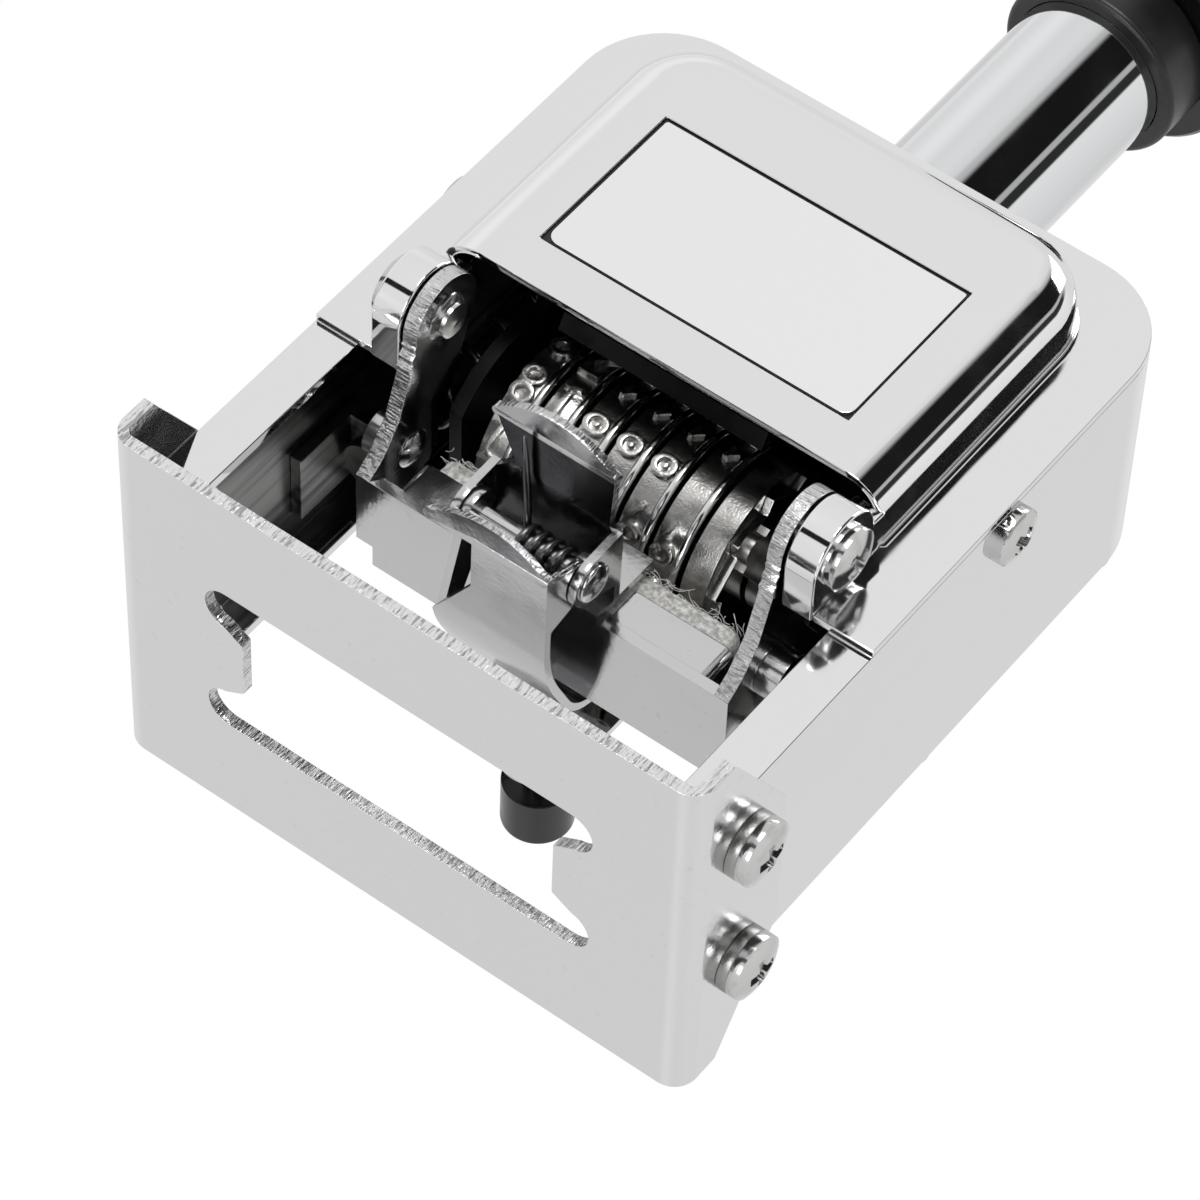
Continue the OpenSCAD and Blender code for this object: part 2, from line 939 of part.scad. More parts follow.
// Thin bright disc on the right face of each wheel.
module wheel_disc(i) {
  x0 = wheel_x0 + i * pitch + drum_w / 2;
  color(chrome)
    difference() {
      rod_along_x(x0, x0 + disc_w, 0, wheel_z, disc_r);
      rod_along_x(x0 - 1, x0 + 2, 0, wheel_z, shaft_pin_r + 0.05);
    }
}

module wheel_disc_1() {
  wheel_disc(0);
}

module wheel_disc_2() {
  wheel_disc(1);
}

module wheel_disc_3() {
  wheel_disc(2);
}

module wheel_disc_4() {
  wheel_disc(3);
}

module wheel_disc_5() {
  wheel_disc(4);
}

module wheel_disc_6() {
  wheel_disc(5);
}

module repeat_drum() {
  color(steel)
    difference() {
      rod_along_x(repeat_x - drum_w / 2, repeat_x + drum_w / 2, 0, wheel_z, 9);
      rod_along_x(0, 20, 0, wheel_z, shaft_pin_r + 0.05);
    }
}

module repeat_ratchet() {
  x0 = repeat_x + drum_w / 2;
  teeth = 10;
  color(steel)
    difference() {
      slab_x(x0, x0 + 0.9)
        polygon([for (k = [0:teeth - 1]) for (s = [0, 1])
          [(s == 0 ? 8.6 : 7.3) * cos(36 * k + 6 * s), wheel_z + (s == 0 ? 8.6 : 7.3) * sin(36 * k + 6 * s)]]);
      rod_along_x(0, 20, 0, wheel_z, shaft_pin_r + 0.05);
    }
}

// Forked lever beside the ratchet, turned to set how often a number repeats.
module repeat_lever() {
  x0 = repeat_x + drum_w / 2 + 1.2;
  x1 = plate_x0 - 0.25;
  color(steel)
    difference() {
      union() {
        rod_along_x(x0, x1, 0, wheel_z, 4);
        for (x = [x0, x1 - 1])
          slab_x(x, x + 1)
            union() {
              translate([0, wheel_z])
                rotate(212)
                  translate([0, -2.2])
                    square([8, 4.4]);
              translate([8 * cos(212), wheel_z + 8 * sin(212)])
                circle(2.2 / 2 + 0.4);
            }
      }
      rod_along_x(0, 20, 0, wheel_z, shaft_pin_r + 0.05);
    }
}

// Rocker whose blade steps the wheels.
module feed_pawl() {
  color(steel)
    difference() {
      union() {
        rod_along_x(-plate_x0 + 0.2, plate_x0 - 0.2, pawl_y, pawl_z, 2);
        slab_x(2 - plate_x0, 0.49 * plate_x0)
          polygon([[-9.4, pawl_z + 1.4], [-10.2, pawl_z + 0.2], [-11.3, pawl_z - 1.6], [-11.3, wheel_z + 3.9],
            [-9.75, wheel_z + 3], [-10.3, wheel_z + 5.6], [-9.2, pawl_z - 1.6]]);
      }
      rod_along_x(-20, 20, pawl_y, pawl_z, pawl_r + 0.05);
    }
}

// Side outline of the ink arm, with a saw edge above and below.
function arm_outline() = concat(
  saw([pivot_y - 3.1, pivot_z - 2.8], [pivot_y + 3.5, pivot_z - 5], 6, -0.35),
  [[pivot_y + 3.5, pivot_z - 5], [-9.4, 23.8], [-6.6, 21.6], [-5.2, tray_z], [3.5, tray_z], [3.5, 21.5]],
  saw([3.5, 21.5], [-1, 28.4], 7, -0.35),
  [[-1, 28.4], [pivot_y + 2.5, pivot_z + 3.6]]);

// Ink arm: two side arms and the cross plate below the pad tray, one bent sheet.
module ink_arm() {
  color(chrome)
    difference() {
      union() {
        both_sides()
          slab_x(arm_x0, arm_x0 + arm_t)
            union() {
              polygon(arm_outline());
              translate([pivot_y, pivot_z])
                circle(4.2);
            }
        translate([-arm_x0 - arm_t, tray_y0, tray_z])
          cube([2 * (arm_x0 + arm_t), 3.5 - tray_y0, tray_t]);
        translate([-arm_x0 + 0.3, 3, tray_z])
          cube([2 * arm_x0 - 0.6, tray_y1 - 3, tray_t]);
      }
      rod_along_x(-30, 30, pivot_y, pivot_z, pivot_r + 0.06);
      rod_along_x(-30, 30, stud_y, stud_z, stud_r + 0.02);
    }
}

module arm_studs() {
  color(steel)
    both_sides() {
      rod_along_x(arm_x0 - 0.1, arm_x0 + arm_t + 2.5, stud_y, stud_z, stud_r);
      translate([arm_x0, stud_y, stud_z])
        rotate([0, -90, 0])
          rotate_extrude()
            intersection() {
              square([2, 0.8]);
              scale_disc(2, 0.8);
            }
    }
}

module arm_rollers() {
  color(steel)
    both_sides()
      difference() {
        rod_along_x(arm_x0 + arm_t, arm_x0 + arm_t + 2.3, stud_y, stud_z, 2.5);
        rod_along_x(10, 30, stud_y, stud_z, stud_r + 0.03);
      }
}

// Shallow cup for the felt, with a gap in its front wall for the clip.
module pad_tray() {
  color(chrome)
    difference() {
      translate([0, 0, cup_z0])
        linear_extrude(cup_z1 - cup_z0)
          rounded(cup_x0, tray_y0 + 0.3, cup_x1, tray_y1, 1);
      translate([0, 0, cup_z0 + cup_w])
        linear_extrude(20)
          rounded(cup_x0 + cup_w, tray_y0 + 0.3 + cup_w, cup_x1 - cup_w, tray_y1 - cup_w, 0.5);
      translate([-8, tray_y0 - 1, cup_z0 + cup_w])
        cube([14.5, 2.2, 20]);
    }
}

module ink_pad() {
  color(felt)
    translate([0, 0, cup_z0 + cup_w])
      linear_extrude(felt_z1 - cup_z0 - cup_w)
        rounded(cup_x0 + cup_w + 0.1, tray_y0 + 0.4 + cup_w, cup_x1 - cup_w - 0.1, tray_y1 - cup_w - 0.1, 0.6);
}

// Points of an arc about c from angle a0 to a1.
function arc(c, r, a0, a1, n) = [for (i = [0:n])
  c + r * [cos(a0 + (a1 - a0) * i / n), sin(a0 + (a1 - a0) * i / n)]];

// Crescent lip in front of the line y = 0, from x0 to x1, with a narrow band behind the line.
module crescent(x0, x1, out, band) {
  half = (x1 - x0) / 2;
  big = (half * half + out * out) / (2 * out);
  translate([(x0 + x1) / 2, 0]) {
    intersection() {
      translate([0, big - out])
        circle(big);
      translate([-half, -out])
        square([2 * half, out]);
    }
    rounded(-half, -band / 2, half, band / 2, band / 2 - 0.01);
  }
}

// Side ear of the clip round its pin.
module pin_ear(x0, r, outline) {
  slab_x(x0, x0 + clip_t)
    union() {
      translate([pin_y, pin_z])
        circle(r);
      polygon(outline);
    }
}

// Upper finger plate of the clip, fixed to the ink arm.
module clip_upper() {
  plate_z = 22.4;
  line = [[lip_y - 0.3, lip_z], [lip_y + 0.3, lip_z - 0.1], [-14.9, plate_z + 0.3], [tray_y0 - 0.5, plate_z]];
  ear = [[-14.3, plate_z + 0.5], [pin_y - ear_r, pin_z], [pin_y + ear_r, pin_z], [-7.8, plate_z + 0.3]];
  color(chrome)
    difference() {
      union() {
        translate([0, lip_y, lip_z - clip_t / 2])
          linear_extrude(clip_t)
            crescent(lip_x0, lip_x1, lip_out, 1);
        intersection() {
          slab_x(lip_x0, clip_x1)
            polygon(strip(line, clip_t));
          linear_extrude(40)
            polygon([[lip_x0 + 0.3, lip_y - 0.3], [lip_x1 - 0.3, lip_y - 0.3], [5.2, -15], [clip_x1, -13.8],
              [clip_x1, 0], [clip_x0, 0], [clip_x0, -13.4], [-5, -15.8]]);
        }
        translate([clip_x0, tray_y0 - clip_t, tray_z])
          cube([clip_x1 - clip_x0, clip_t, 8]);
        for (x = [clip_x0, clip_x1 - clip_t])
          pin_ear(x, ear_r, ear);
      }
      rod_along_x(-20, 20, pin_y, pin_z, pin_r + 0.02);
    }
}

// Riveted pin of the clip, with a low head on each end.
module clip_pin() {
  head_r = 1.9;
  head_h = 0.8;
  color(steel)
    union() {
      rod_along_x(clip_x0 - 0.4, clip_x1 + 0.4, pin_y, pin_z, pin_r);
      for (end = [[clip_x1, 90], [clip_x0, -90]])
        translate([end[0], pin_y, pin_z])
          rotate([0, end[1], 0])
            rotate_extrude()
              intersection() {
                square([head_r, head_h]);
                scale_disc(head_r + 0.4, head_h);
              }
    }
}

// Torsion spring on the clip pin: one unbroken tube with a leg to each lever.
module clip_spring() {
  steps = ceil(coil_sweep / 45);
  coil = [for (i = [0:steps])
    let(a = coil_start - coil_sweep * i / steps)
    [coil_x0 + coil_pitch * coil_sweep / 360 * i / steps, pin_y + coil_r * cos(a), pin_z + coil_r * sin(a)]];
  last = coil_start - coil_sweep;
  upper = [-4.6, -20, lip_z - 0.95];
  lower = coil[steps] + 3.7 * [0, sin(last), -cos(last)];
  echo(clip_spring_gap = coil_pitch - 2 * coil_wire);
  color(steel)
    wire(concat([upper], coil, [lower]), coil_wire, [1, 0, 0]);
}

// Lower jaw: crescent lip, flat finger plate with ears, and a trough that hooks round the rear of the tray.
module clip_lower() {
  hook_c = [1.79, 21.94];
  hook_r = 5.5;
  rise_r = 16;
  rise_y = -6;
  line = concat([[jaw_y - 0.3, jaw_z], [rise_y, jaw_z - 0.1]],
    arc([rise_y, jaw_z - 0.1 + rise_r], rise_r, 273, 295, 5), arc(hook_c, hook_r, 295, 390, 16));
  right_ear = [[jaw_y + 0.3, jaw_z], [pin_y - 2.1, pin_z], [pin_y + 2.1, pin_z], [-8.4, jaw_z]];
  left_ear = [[pin_y - 1.4, pin_z - 1.7], [pin_y + 1.4, pin_z + 1.7], [-0.8, 15.4], [-3.4, jaw_z]];
  color(chrome)
    difference() {
      union() {
        translate([0, jaw_y, jaw_z])
          rotate([-15, 0, 0])
            translate([0, 0, -clip_t / 2])
              linear_extrude(clip_t)
                crescent(-7.9, jaw_x1, jaw_lip, 1);
        intersection() {
          slab_x(jaw_x0, jaw_x1)
            polygon(strip(line, clip_t));
          linear_extrude(40)
            polygon([[-2.7, -18], [jaw_x1, -18], [jaw_x1, 9], [jaw_x0, 9], [jaw_x0, -2.8], [-2.7, -9.4]]);
        }
        pin_ear(jaw_x1 - clip_t, 2.2, right_ear);
        pin_ear(clip_x0 + clip_t + 0.1, 2.2, left_ear);
      }
      rod_along_x(-20, 20, pin_y, pin_z, pin_r + 0.04);
    }
}

frame();
front_cover();
name_panel();
back_plate();
foot_plate();
foot_screws();
foot_washers();
side_screws();
top_bush();
guide_rods();
spring_seats();
return_springs();
pivot_screws();
back_screws();
lock_barrel();
lock_pin();
lock_knob();
plunger_tube();
handle_collar();
handle_knob();
crosshead();
crosshead_pin();
head_bridge();
head_plate_left();
head_plate_right();
wheel_shaft();
shaft_nuts();
pawl_shaft();
detent_springs();
number_wheel_1();
number_wheel_2();
number_wheel_3();
number_wheel_4();
number_wheel_5();
number_wheel_6();
wheel_disc_1();
wheel_disc_2();
wheel_disc_3();
wheel_disc_4();
wheel_disc_5();
wheel_disc_6();
repeat_drum();
repeat_ratchet();
repeat_lever();
feed_pawl();
ink_arm();
arm_studs();
arm_rollers();
pad_tray();
ink_pad();
clip_upper();
clip_pin();
clip_spring();
clip_lower();
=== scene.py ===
"""Numbering machine dressed for the photograph: plated sheet, wire, steel, felt and black plastic."""

import json
import math
import random

import bpy
from mathutils import Matrix, Vector

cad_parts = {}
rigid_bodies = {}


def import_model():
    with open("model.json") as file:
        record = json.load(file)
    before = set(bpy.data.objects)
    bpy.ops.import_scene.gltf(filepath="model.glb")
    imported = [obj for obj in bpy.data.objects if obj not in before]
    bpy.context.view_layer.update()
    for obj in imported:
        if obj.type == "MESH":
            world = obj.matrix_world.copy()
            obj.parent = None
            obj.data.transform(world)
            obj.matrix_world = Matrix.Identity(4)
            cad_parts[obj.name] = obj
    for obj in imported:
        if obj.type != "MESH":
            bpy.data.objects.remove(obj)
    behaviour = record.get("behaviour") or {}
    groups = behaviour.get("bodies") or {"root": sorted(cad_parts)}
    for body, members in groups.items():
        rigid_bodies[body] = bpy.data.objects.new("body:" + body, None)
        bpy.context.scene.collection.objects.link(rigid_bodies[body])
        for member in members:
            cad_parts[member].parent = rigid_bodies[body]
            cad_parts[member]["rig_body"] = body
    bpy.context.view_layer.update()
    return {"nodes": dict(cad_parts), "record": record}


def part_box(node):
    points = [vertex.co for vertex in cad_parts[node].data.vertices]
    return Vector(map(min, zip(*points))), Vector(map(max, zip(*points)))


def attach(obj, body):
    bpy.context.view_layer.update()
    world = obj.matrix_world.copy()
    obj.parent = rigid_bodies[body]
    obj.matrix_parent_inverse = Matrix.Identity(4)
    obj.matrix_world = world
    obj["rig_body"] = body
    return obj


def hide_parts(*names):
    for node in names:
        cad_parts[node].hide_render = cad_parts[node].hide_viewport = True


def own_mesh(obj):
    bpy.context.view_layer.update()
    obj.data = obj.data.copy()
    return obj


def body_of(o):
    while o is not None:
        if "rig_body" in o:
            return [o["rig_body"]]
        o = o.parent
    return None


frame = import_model()
MM = 0.001


# Colours and finishes


def linear(code):
    """An sRGB hex value as linear red, green, blue and alpha."""
    parts = [int(code[i : i + 2], 16) / 255 for i in (0, 2, 4)]
    lin = [p / 12.92 if p <= 0.04045 else ((p + 0.055) / 1.055) ** 2.4 for p in parts]
    return (*lin, 1.0)


def add_node(tree, kind, settings=(), links=()):
    """Adds a node, sets its properties or sockets, and links its inputs to (node, output) pairs."""
    node = tree.nodes.new(kind)
    for name, value in dict(settings).items():
        if isinstance(name, int) or name in node.inputs:
            node.inputs[name].default_value = value
        else:
            setattr(node, name, value)
    for name, (source, output) in dict(links).items():
        tree.links.new(source.outputs[output], node.inputs[name])
    return node


def new_material(name, settings):
    """A material with one Principled shader, returned with its tree, shader and Object coordinates."""
    material = bpy.data.materials.new(name)
    material.use_nodes = True
    tree = material.node_tree
    shader = tree.nodes["Principled BSDF"]
    for socket, value in settings.items():
        shader.inputs[socket].default_value = value
    place = add_node(tree, "ShaderNodeTexCoord")
    return material, tree, shader, place


SMOOTH_STEP = {"interpolation_type": "SMOOTHSTEP"}
# How large the marks on each surface are, in mm
PIT = 0.45
TEAR = 0.24
SPECK = 0.9
SMEAR = 7
OIL_PATCH = 2.2
DUST_PATCH = 3
MATTED_WOOL = 0.5
# How deep they go, in mm
FINE_DEPTH = 0.05
TEAR_DEPTH = 0.2
WOOL_DEPTH = 0.2
# How much they add to the roughness
SMEARED = 0.08
DUSTY = 0.15
# Under torn plate the steel shows, by this share at most
BARE_STEEL = "5A5855"
BARE_SHARE = 0.55
TARNISH = "8A8986"
# Painted shade in the felt's hollows; the tops keep the wool's own pale tone
WOOL_HOLLOW_SHADE = "B2B1AD"
WOOL_TOPS = "F0EFEB"


def plated(name, colour, roughness, wave_mm=9.0, wave=0.06, pits=0.0, sheared=(), tarnish=0.0):
    """Bright plate on pressed sheet.

    Slow waves left by the press bend its reflections and finger marks dull it in places. Coarser strip
    has small pits. Faces cut by the press keep torn lines through the sheet's thickness: sheared scales
    them on each axis, and less than 1 draws them out. Tarnish says how strongly grey specks show.
    """
    material, tree, shader, place = new_material(
        name, {"Base Color": linear(colour), "Metallic": 1.0}
    )
    waves = add_node(
        tree,
        "ShaderNodeTexNoise",
        {"Scale": 1 / (wave_mm * MM), "Detail": 1.0},
        {"Vector": (place, "Object")},
    )
    bump = add_node(
        tree, "ShaderNodeBump", {"Strength": wave, "Distance": MM}, {"Height": (waves, 0)}
    )
    if pits:
        grit = add_node(
            tree,
            "ShaderNodeTexNoise",
            {"Scale": 1 / (PIT * MM), "Detail": 3.0},
            {"Vector": (place, "Object")},
        )
        bump = add_node(
            tree,
            "ShaderNodeBump",
            {"Strength": pits, "Distance": FINE_DEPTH * MM},
            {"Height": (grit, 0), "Normal": (bump, 0)},
        )
    if sheared:
        edge = add_node(tree, "ShaderNodeAttribute", {"attribute_name": "sheared"})
        along = add_node(
            tree, "ShaderNodeMapping", {"Scale": sheared}, {"Vector": (place, "Object")}
        )
        tears = add_node(
            tree,
            "ShaderNodeTexNoise",
            {"Scale": 1 / (TEAR * MM), "Detail": 3.0},
            {"Vector": (along, 0)},
        )
        torn = add_node(
            tree, "ShaderNodeMath", {"operation": "MULTIPLY"}, {0: (tears, 0), 1: (edge, "Fac")}
        )
        bump = add_node(
            tree,
            "ShaderNodeBump",
            {"Strength": 0.7, "Distance": TEAR_DEPTH * MM},
            {"Height": (torn, 0), "Normal": (bump, 0)},
        )
    tree.links.new(bump.outputs[0], shader.inputs["Normal"])
    if sheared:
        bare = add_node(
            tree,
            "ShaderNodeMapRange",
            {**SMOOTH_STEP, "From Min": 0.5, "From Max": 0.64, "To Max": BARE_SHARE},
            {"Value": (torn, 0)},
        )
        base = add_node(
            tree,
            "ShaderNodeMix",
            {"data_type": "RGBA", 6: linear(colour), 7: linear(BARE_STEEL)},
            {0: (bare, 0)},
        )
        specks = add_node(
            tree,
            "ShaderNodeTexNoise",
            {"Scale": 1 / (SPECK * MM), "Detail": 5.0},
            {"Vector": (place, "Object")},
        )
        share = add_node(
            tree,
            "ShaderNodeMapRange",
            {**SMOOTH_STEP, "From Min": 0.62, "From Max": 0.72, "To Max": tarnish},
            {"Value": (specks, 0)},
        )
        mix = add_node(
            tree,
            "ShaderNodeMix",
            {"data_type": "RGBA", 7: linear(TARNISH)},
            {0: (share, 0), 6: (base, 2)},
        )
        tree.links.new(mix.outputs[2], shader.inputs["Base Color"])
    smears = add_node(
        tree,
        "ShaderNodeTexNoise",
        {"Scale": 1 / (SMEAR * MM), "Detail": 4.0},
        {"Vector": (place, "Object")},
    )
    rough = add_node(
        tree,
        "ShaderNodeMapRange",
        {
            **SMOOTH_STEP,
            "From Min": 0.45,
            "From Max": 0.75,
            "To Min": roughness,
            "To Max": roughness + SMEARED,
        },
        {"Value": (smears, 0)},
    )
    tree.links.new(rough.outputs[0], shader.inputs["Roughness"])
    return material


def worked(
    name, colour, roughness, mark_mm=0.3, depth=0.2, dark="4A4845", grime_and_shade=0.5, drawn=(1, 1, 1)
):
    """Steel off a lathe, mill or die: fine marks soften its shine and old oily dirt darkens it in
    patches; in the head's steel and inside the casing the dark patches are painted shade.

    Streaks take the place of patches where drawn scales them on each axis; inside the casing they are
    painted shade with painted reflections between.
    """
    material, tree, shader, place = new_material(name, {"Metallic": 1.0, "Roughness": roughness})
    marks = add_node(
        tree,
        "ShaderNodeTexNoise",
        {"Scale": 1 / (mark_mm * MM), "Detail": 3.0},
        {"Vector": (place, "Object")},
    )
    bump = add_node(
        tree,
        "ShaderNodeBump",
        {"Strength": depth, "Distance": FINE_DEPTH * MM},
        {"Height": (marks, 0)},
    )
    tree.links.new(bump.outputs[0], shader.inputs["Normal"])
    along = add_node(tree, "ShaderNodeMapping", {"Scale": drawn}, {"Vector": (place, "Object")})
    oil_and_shade = add_node(
        tree,
        "ShaderNodeTexNoise",
        {"Scale": 1 / (OIL_PATCH * MM), "Detail": 4.0},
        {"Vector": (along, 0)},
    )
    share = add_node(
        tree,
        "ShaderNodeMapRange",
        {**SMOOTH_STEP, "From Min": 0.45, "From Max": 0.75, "To Max": grime_and_shade},
        {"Value": (oil_and_shade, 0)},
    )
    mix = add_node(
        tree,
        "ShaderNodeMix",
        {"data_type": "RGBA", 6: linear(colour), 7: linear(dark)},
        {0: (share, 0)},
    )
    tree.links.new(mix.outputs[2], shader.inputs["Base Color"])
    return material


def moulded(name, colour, roughness, skin_mm, depth):
    """Moulded plastic: a faint skin breaks up its highlight and dust dulls it in places."""
    material, tree, shader, place = new_material(name, {"Base Color": linear(colour), "IOR": 1.53})
    skin = add_node(
        tree,
        "ShaderNodeTexNoise",
        {"Scale": 1 / (skin_mm * MM), "Detail": 2.0},
        {"Vector": (place, "Object")},
    )
    bump = add_node(
        tree,
        "ShaderNodeBump",
        {"Strength": depth, "Distance": FINE_DEPTH * MM},
        {"Height": (skin, 0)},
    )
    tree.links.new(bump.outputs[0], shader.inputs["Normal"])
    dust = add_node(
        tree,
        "ShaderNodeTexNoise",
        {"Scale": 1 / (DUST_PATCH * MM), "Detail": 5.0},
        {"Vector": (place, "Object")},
    )
    rough = add_node(
        tree,
        "ShaderNodeMapRange",
        {
            **SMOOTH_STEP,
            "From Min": 0.5,
            "From Max": 0.8,
            "To Min": roughness,
            "To Max": roughness + DUSTY,
        },
        {"Value": (dust, 0)},
    )
    tree.links.new(rough.outputs[0], shader.inputs["Roughness"])
    return material


def wool_felt():
    """Pressed wool felt: pale grey and matt, its matted fibres drawn half a millimetre across, with
    painted shade in their hollows.
    """
    material, tree, shader, place = new_material(
        "pressed wool felt", {"Roughness": 0.95, "Sheen Weight": 0.4, "Sheen Roughness": 0.6}
    )
    mat = add_node(
        tree,
        "ShaderNodeTexNoise",
        {"Scale": 1 / (MATTED_WOOL * MM), "Detail": 6.0},
        {"Vector": (place, "Object")},
    )
    bump = add_node(
        tree, "ShaderNodeBump", {"Strength": 0.5, "Distance": WOOL_DEPTH * MM}, {"Height": (mat, 0)}
    )
    tree.links.new(bump.outputs[0], shader.inputs["Normal"])
    share = add_node(
        tree,
        "ShaderNodeMapRange",
        {**SMOOTH_STEP, "From Min": 0.35, "From Max": 0.65},
        {"Value": (mat, 0)},
    )
    mix = add_node(
        tree,
        "ShaderNodeMix",
        {"data_type": "RGBA", 6: linear(WOOL_HOLLOW_SHADE), 7: linear(WOOL_TOPS)},
        {0: (share, 0)},
    )
    tree.links.new(mix.outputs[2], shader.inputs["Base Color"])
    return material


# The scale of torn lines on each axis: across the upright side arms, and upright through flat sheet
ACROSS = (0.2, 1, 1)
UPRIGHT = (1, 1, 0.15)
# The same for the painted shade and painted reflection streaks inside the casing
SHADE_STREAKS = (1, 1, 0.06)

# Bright nickel on smooth sheet: it mirrors the white studio with a slight swim
CASING = plated("bright nickel, casing", "EDEDEE", 0.06)
# Name panel: the brightest plate, polished flat
PANEL = plated("polished nickel, name panel", "F7F7F8", 0.05, wave=0.04)
# The casing's plate on a coarser strip: fine pits, specks and smears show on its flat underside
FOOT = plated(
    "bright nickel, foot plate", "EAEAEB", 0.13, pits=0.35, sheared=UPRIGHT, tarnish=0.08
)
# Thinner plate on the ink arm: greyer, and torn along its toothed edges
ARM = plated(
    "thin nickel, ink arm",
    "D2D2D3",
    0.12,
    wave_mm=5.0,
    wave=0.08,
    pits=0.2,
    sheared=ACROSS,
    tarnish=0.1,
)
# Dull plate on the clip: grey, with torn lines and bare steel on its cut faces
CLIP = plated(
    "thin nickel, pad clip",
    "CACACB",
    0.16,
    wave_mm=4.0,
    wave=0.08,
    pits=0.25,
    sheared=UPRIGHT,
    tarnish=0.1,
)
# Inner face of the finger plate, its underside: painted shade, a dark colour under fine scratches
FINGER_PLATE_SHADE = plated("painted shade, finger plate underside", "4E4E50", 0.2, wave_mm=4.0, wave=0.1, pits=0.4)
# Hard chrome, ground before it was plated: the straightest reflections on the object
SHAFT = plated("hard chrome, shaft", "E4E5E6", 0.03, wave=0.0)
# Zinc plated screw steel: bright, with soft edges to its reflections
SCREW = worked("zinc plate, screws", "D2D2D1", 0.17, depth=0.12, grime_and_shade=0.2)
# Punched spring washers: the same zinc, grey and rough from the barrel
WASHER = worked("barrelled zinc, washers", "A6A6A4", 0.32, depth=0.5, grime_and_shade=0.5)
# Plain milled steel inside the head: dull grey with oil in the corners
INNER = worked("milled steel, head", "8E8D8A", 0.3)
# Steel deep inside the head, coloured near black as painted shade under the bezel
HEAD_SHADE = worked("steel in painted shade, head frame", "252526", 0.5, dark="121212")
# Thin plate inside the casing: painted shade, dark, with paler streaks that are painted reflections of
# the walls
CASING_INSIDE_SHADE = worked(
    "painted shade and reflections, inside the casing",
    "838382",
    0.3,
    depth=0.08,
    dark="242423",
    grime_and_shade=1.0,
    drawn=SHADE_STREAKS,
)
# Die-cast number wheels: grey and grainy, darker where ink and oil settled
WHEEL = worked("die-cast zinc, number wheels", "C6C5C2", 0.2, mark_mm=0.22, depth=0.5, grime_and_shade=0.5)
# Ground discs beside the wheels: a thin bright rim
DISC = worked("ground steel, wheel discs", "E0E0DF", 0.12, depth=0.08, grime_and_shade=0.2)
# Drawn spring wire: dark grey and satin
WIRE = worked("drawn spring wire", "77777A", 0.24, depth=0.1, grime_and_shade=0.4)
# Rolled brass strip: warm and satin
BRASS = worked("rolled brass, detent comb", "B99A58", 0.3, dark="6A5426")
# Phenolic knob: deep black with a clear gloss
BLACK = moulded("black phenolic, handle", "0D0D0E", 0.18, skin_mm=1.2, depth=0.08)
# Nylon collar under the knob: black, a little duller
COLLAR = moulded("black nylon, collar", "161617", 0.34, skin_mm=0.5, depth=0.15)
# Painted shade and dirt in the groove round the name panel: a dark matt line
GROOVE_SHADE_AND_DIRT = moulded("painted shade and dirt, panel groove", "1B1B1A", 0.6, skin_mm=0.4, depth=0.3)
# Wool felt of the ink pad: pale, matt and fuzzy
FELT = wool_felt()

# The finish for each of the part's material slots, and the nodes that wear another one
FINISH = {
    "casing_chrome": CASING,
    "foot_chrome": FOOT,
    "arm_chrome": ARM,
    "shaft_chrome": SHAFT,
    "screw_steel": SCREW,
    "inner_steel": INNER,
    "spring_steel": WIRE,
    "spring_brass": BRASS,
    "wheel_steel": WHEEL,
    "disc_chrome": DISC,
    "collar_dark": COLLAR,
    "handle_black": BLACK,
    "felt_wool": FELT,
}
OWN_FINISH = {
    "clip_upper": CLIP,
    "clip_lower": CLIP,
    "pad_tray": ARM,
    "foot_washers": WASHER,
    # The spring seats wear the same painted shade and painted reflection streaks as the casing's inside
    "spring_seats": CASING_INSIDE_SHADE,
    # Painted shade: the head's steel pieces under the bezel are coloured near black
    "feed_pawl": HEAD_SHADE,
    "head_bridge": HEAD_SHADE,
    "head_plate_left": HEAD_SHADE,
    "head_plate_right": HEAD_SHADE,
}
SLOT_OF = {s["node"]: s["material_slot"] for s in frame["record"]["subparts"]}


# Workshop helpers

# An edge counts as sharp from this many degrees
CREASE = 35
# How much of a direction lies along an axis: for a line along it, a line square to it and a flat face
PARALLEL = 0.9
SQUARE = 0.1
FLAT = 0.99
HOLE_SIDES = 48
ROUND_CORNER_STEPS = 12


def pick(piece):
    """Makes a piece the only selected and active one."""
    bpy.ops.object.select_all(action="DESELECT")
    piece.select_set(True)
    bpy.context.view_layer.objects.active = piece


def edit(piece, operator, **settings):
    """Runs one edit-mode operator on what is selected in a piece."""
    pick(piece)
    bpy.ops.object.mode_set(mode="EDIT")
    operator(**settings)
    bpy.ops.object.mode_set(mode="OBJECT")


def choose(piece, kind, test):
    """Selects the faces, edges or corners whose middle (mm) and direction pass a test."""
    pick(piece)
    bpy.ops.object.mode_set(mode="EDIT")
    bpy.ops.mesh.select_mode(type=kind)
    bpy.ops.mesh.select_all(action="DESELECT")
    bpy.ops.object.mode_set(mode="OBJECT")
    mesh = piece.data
    if kind == "FACE":
        for face in mesh.polygons:
            face.select = test(face.center / MM, face.normal)
    elif kind == "EDGE":
        for side in mesh.edges:
            a, b = (mesh.vertices[i].co / MM for i in side.vertices)
            side.select = test((a + b) / 2, (b - a).normalized())
    else:
        for corner in mesh.vertices:
            corner.select = test(corner.co / MM, corner.normal)


def near(value, target, slack=0.05):
    """Whether two lengths in mm agree."""
    return abs(value - target) < slack


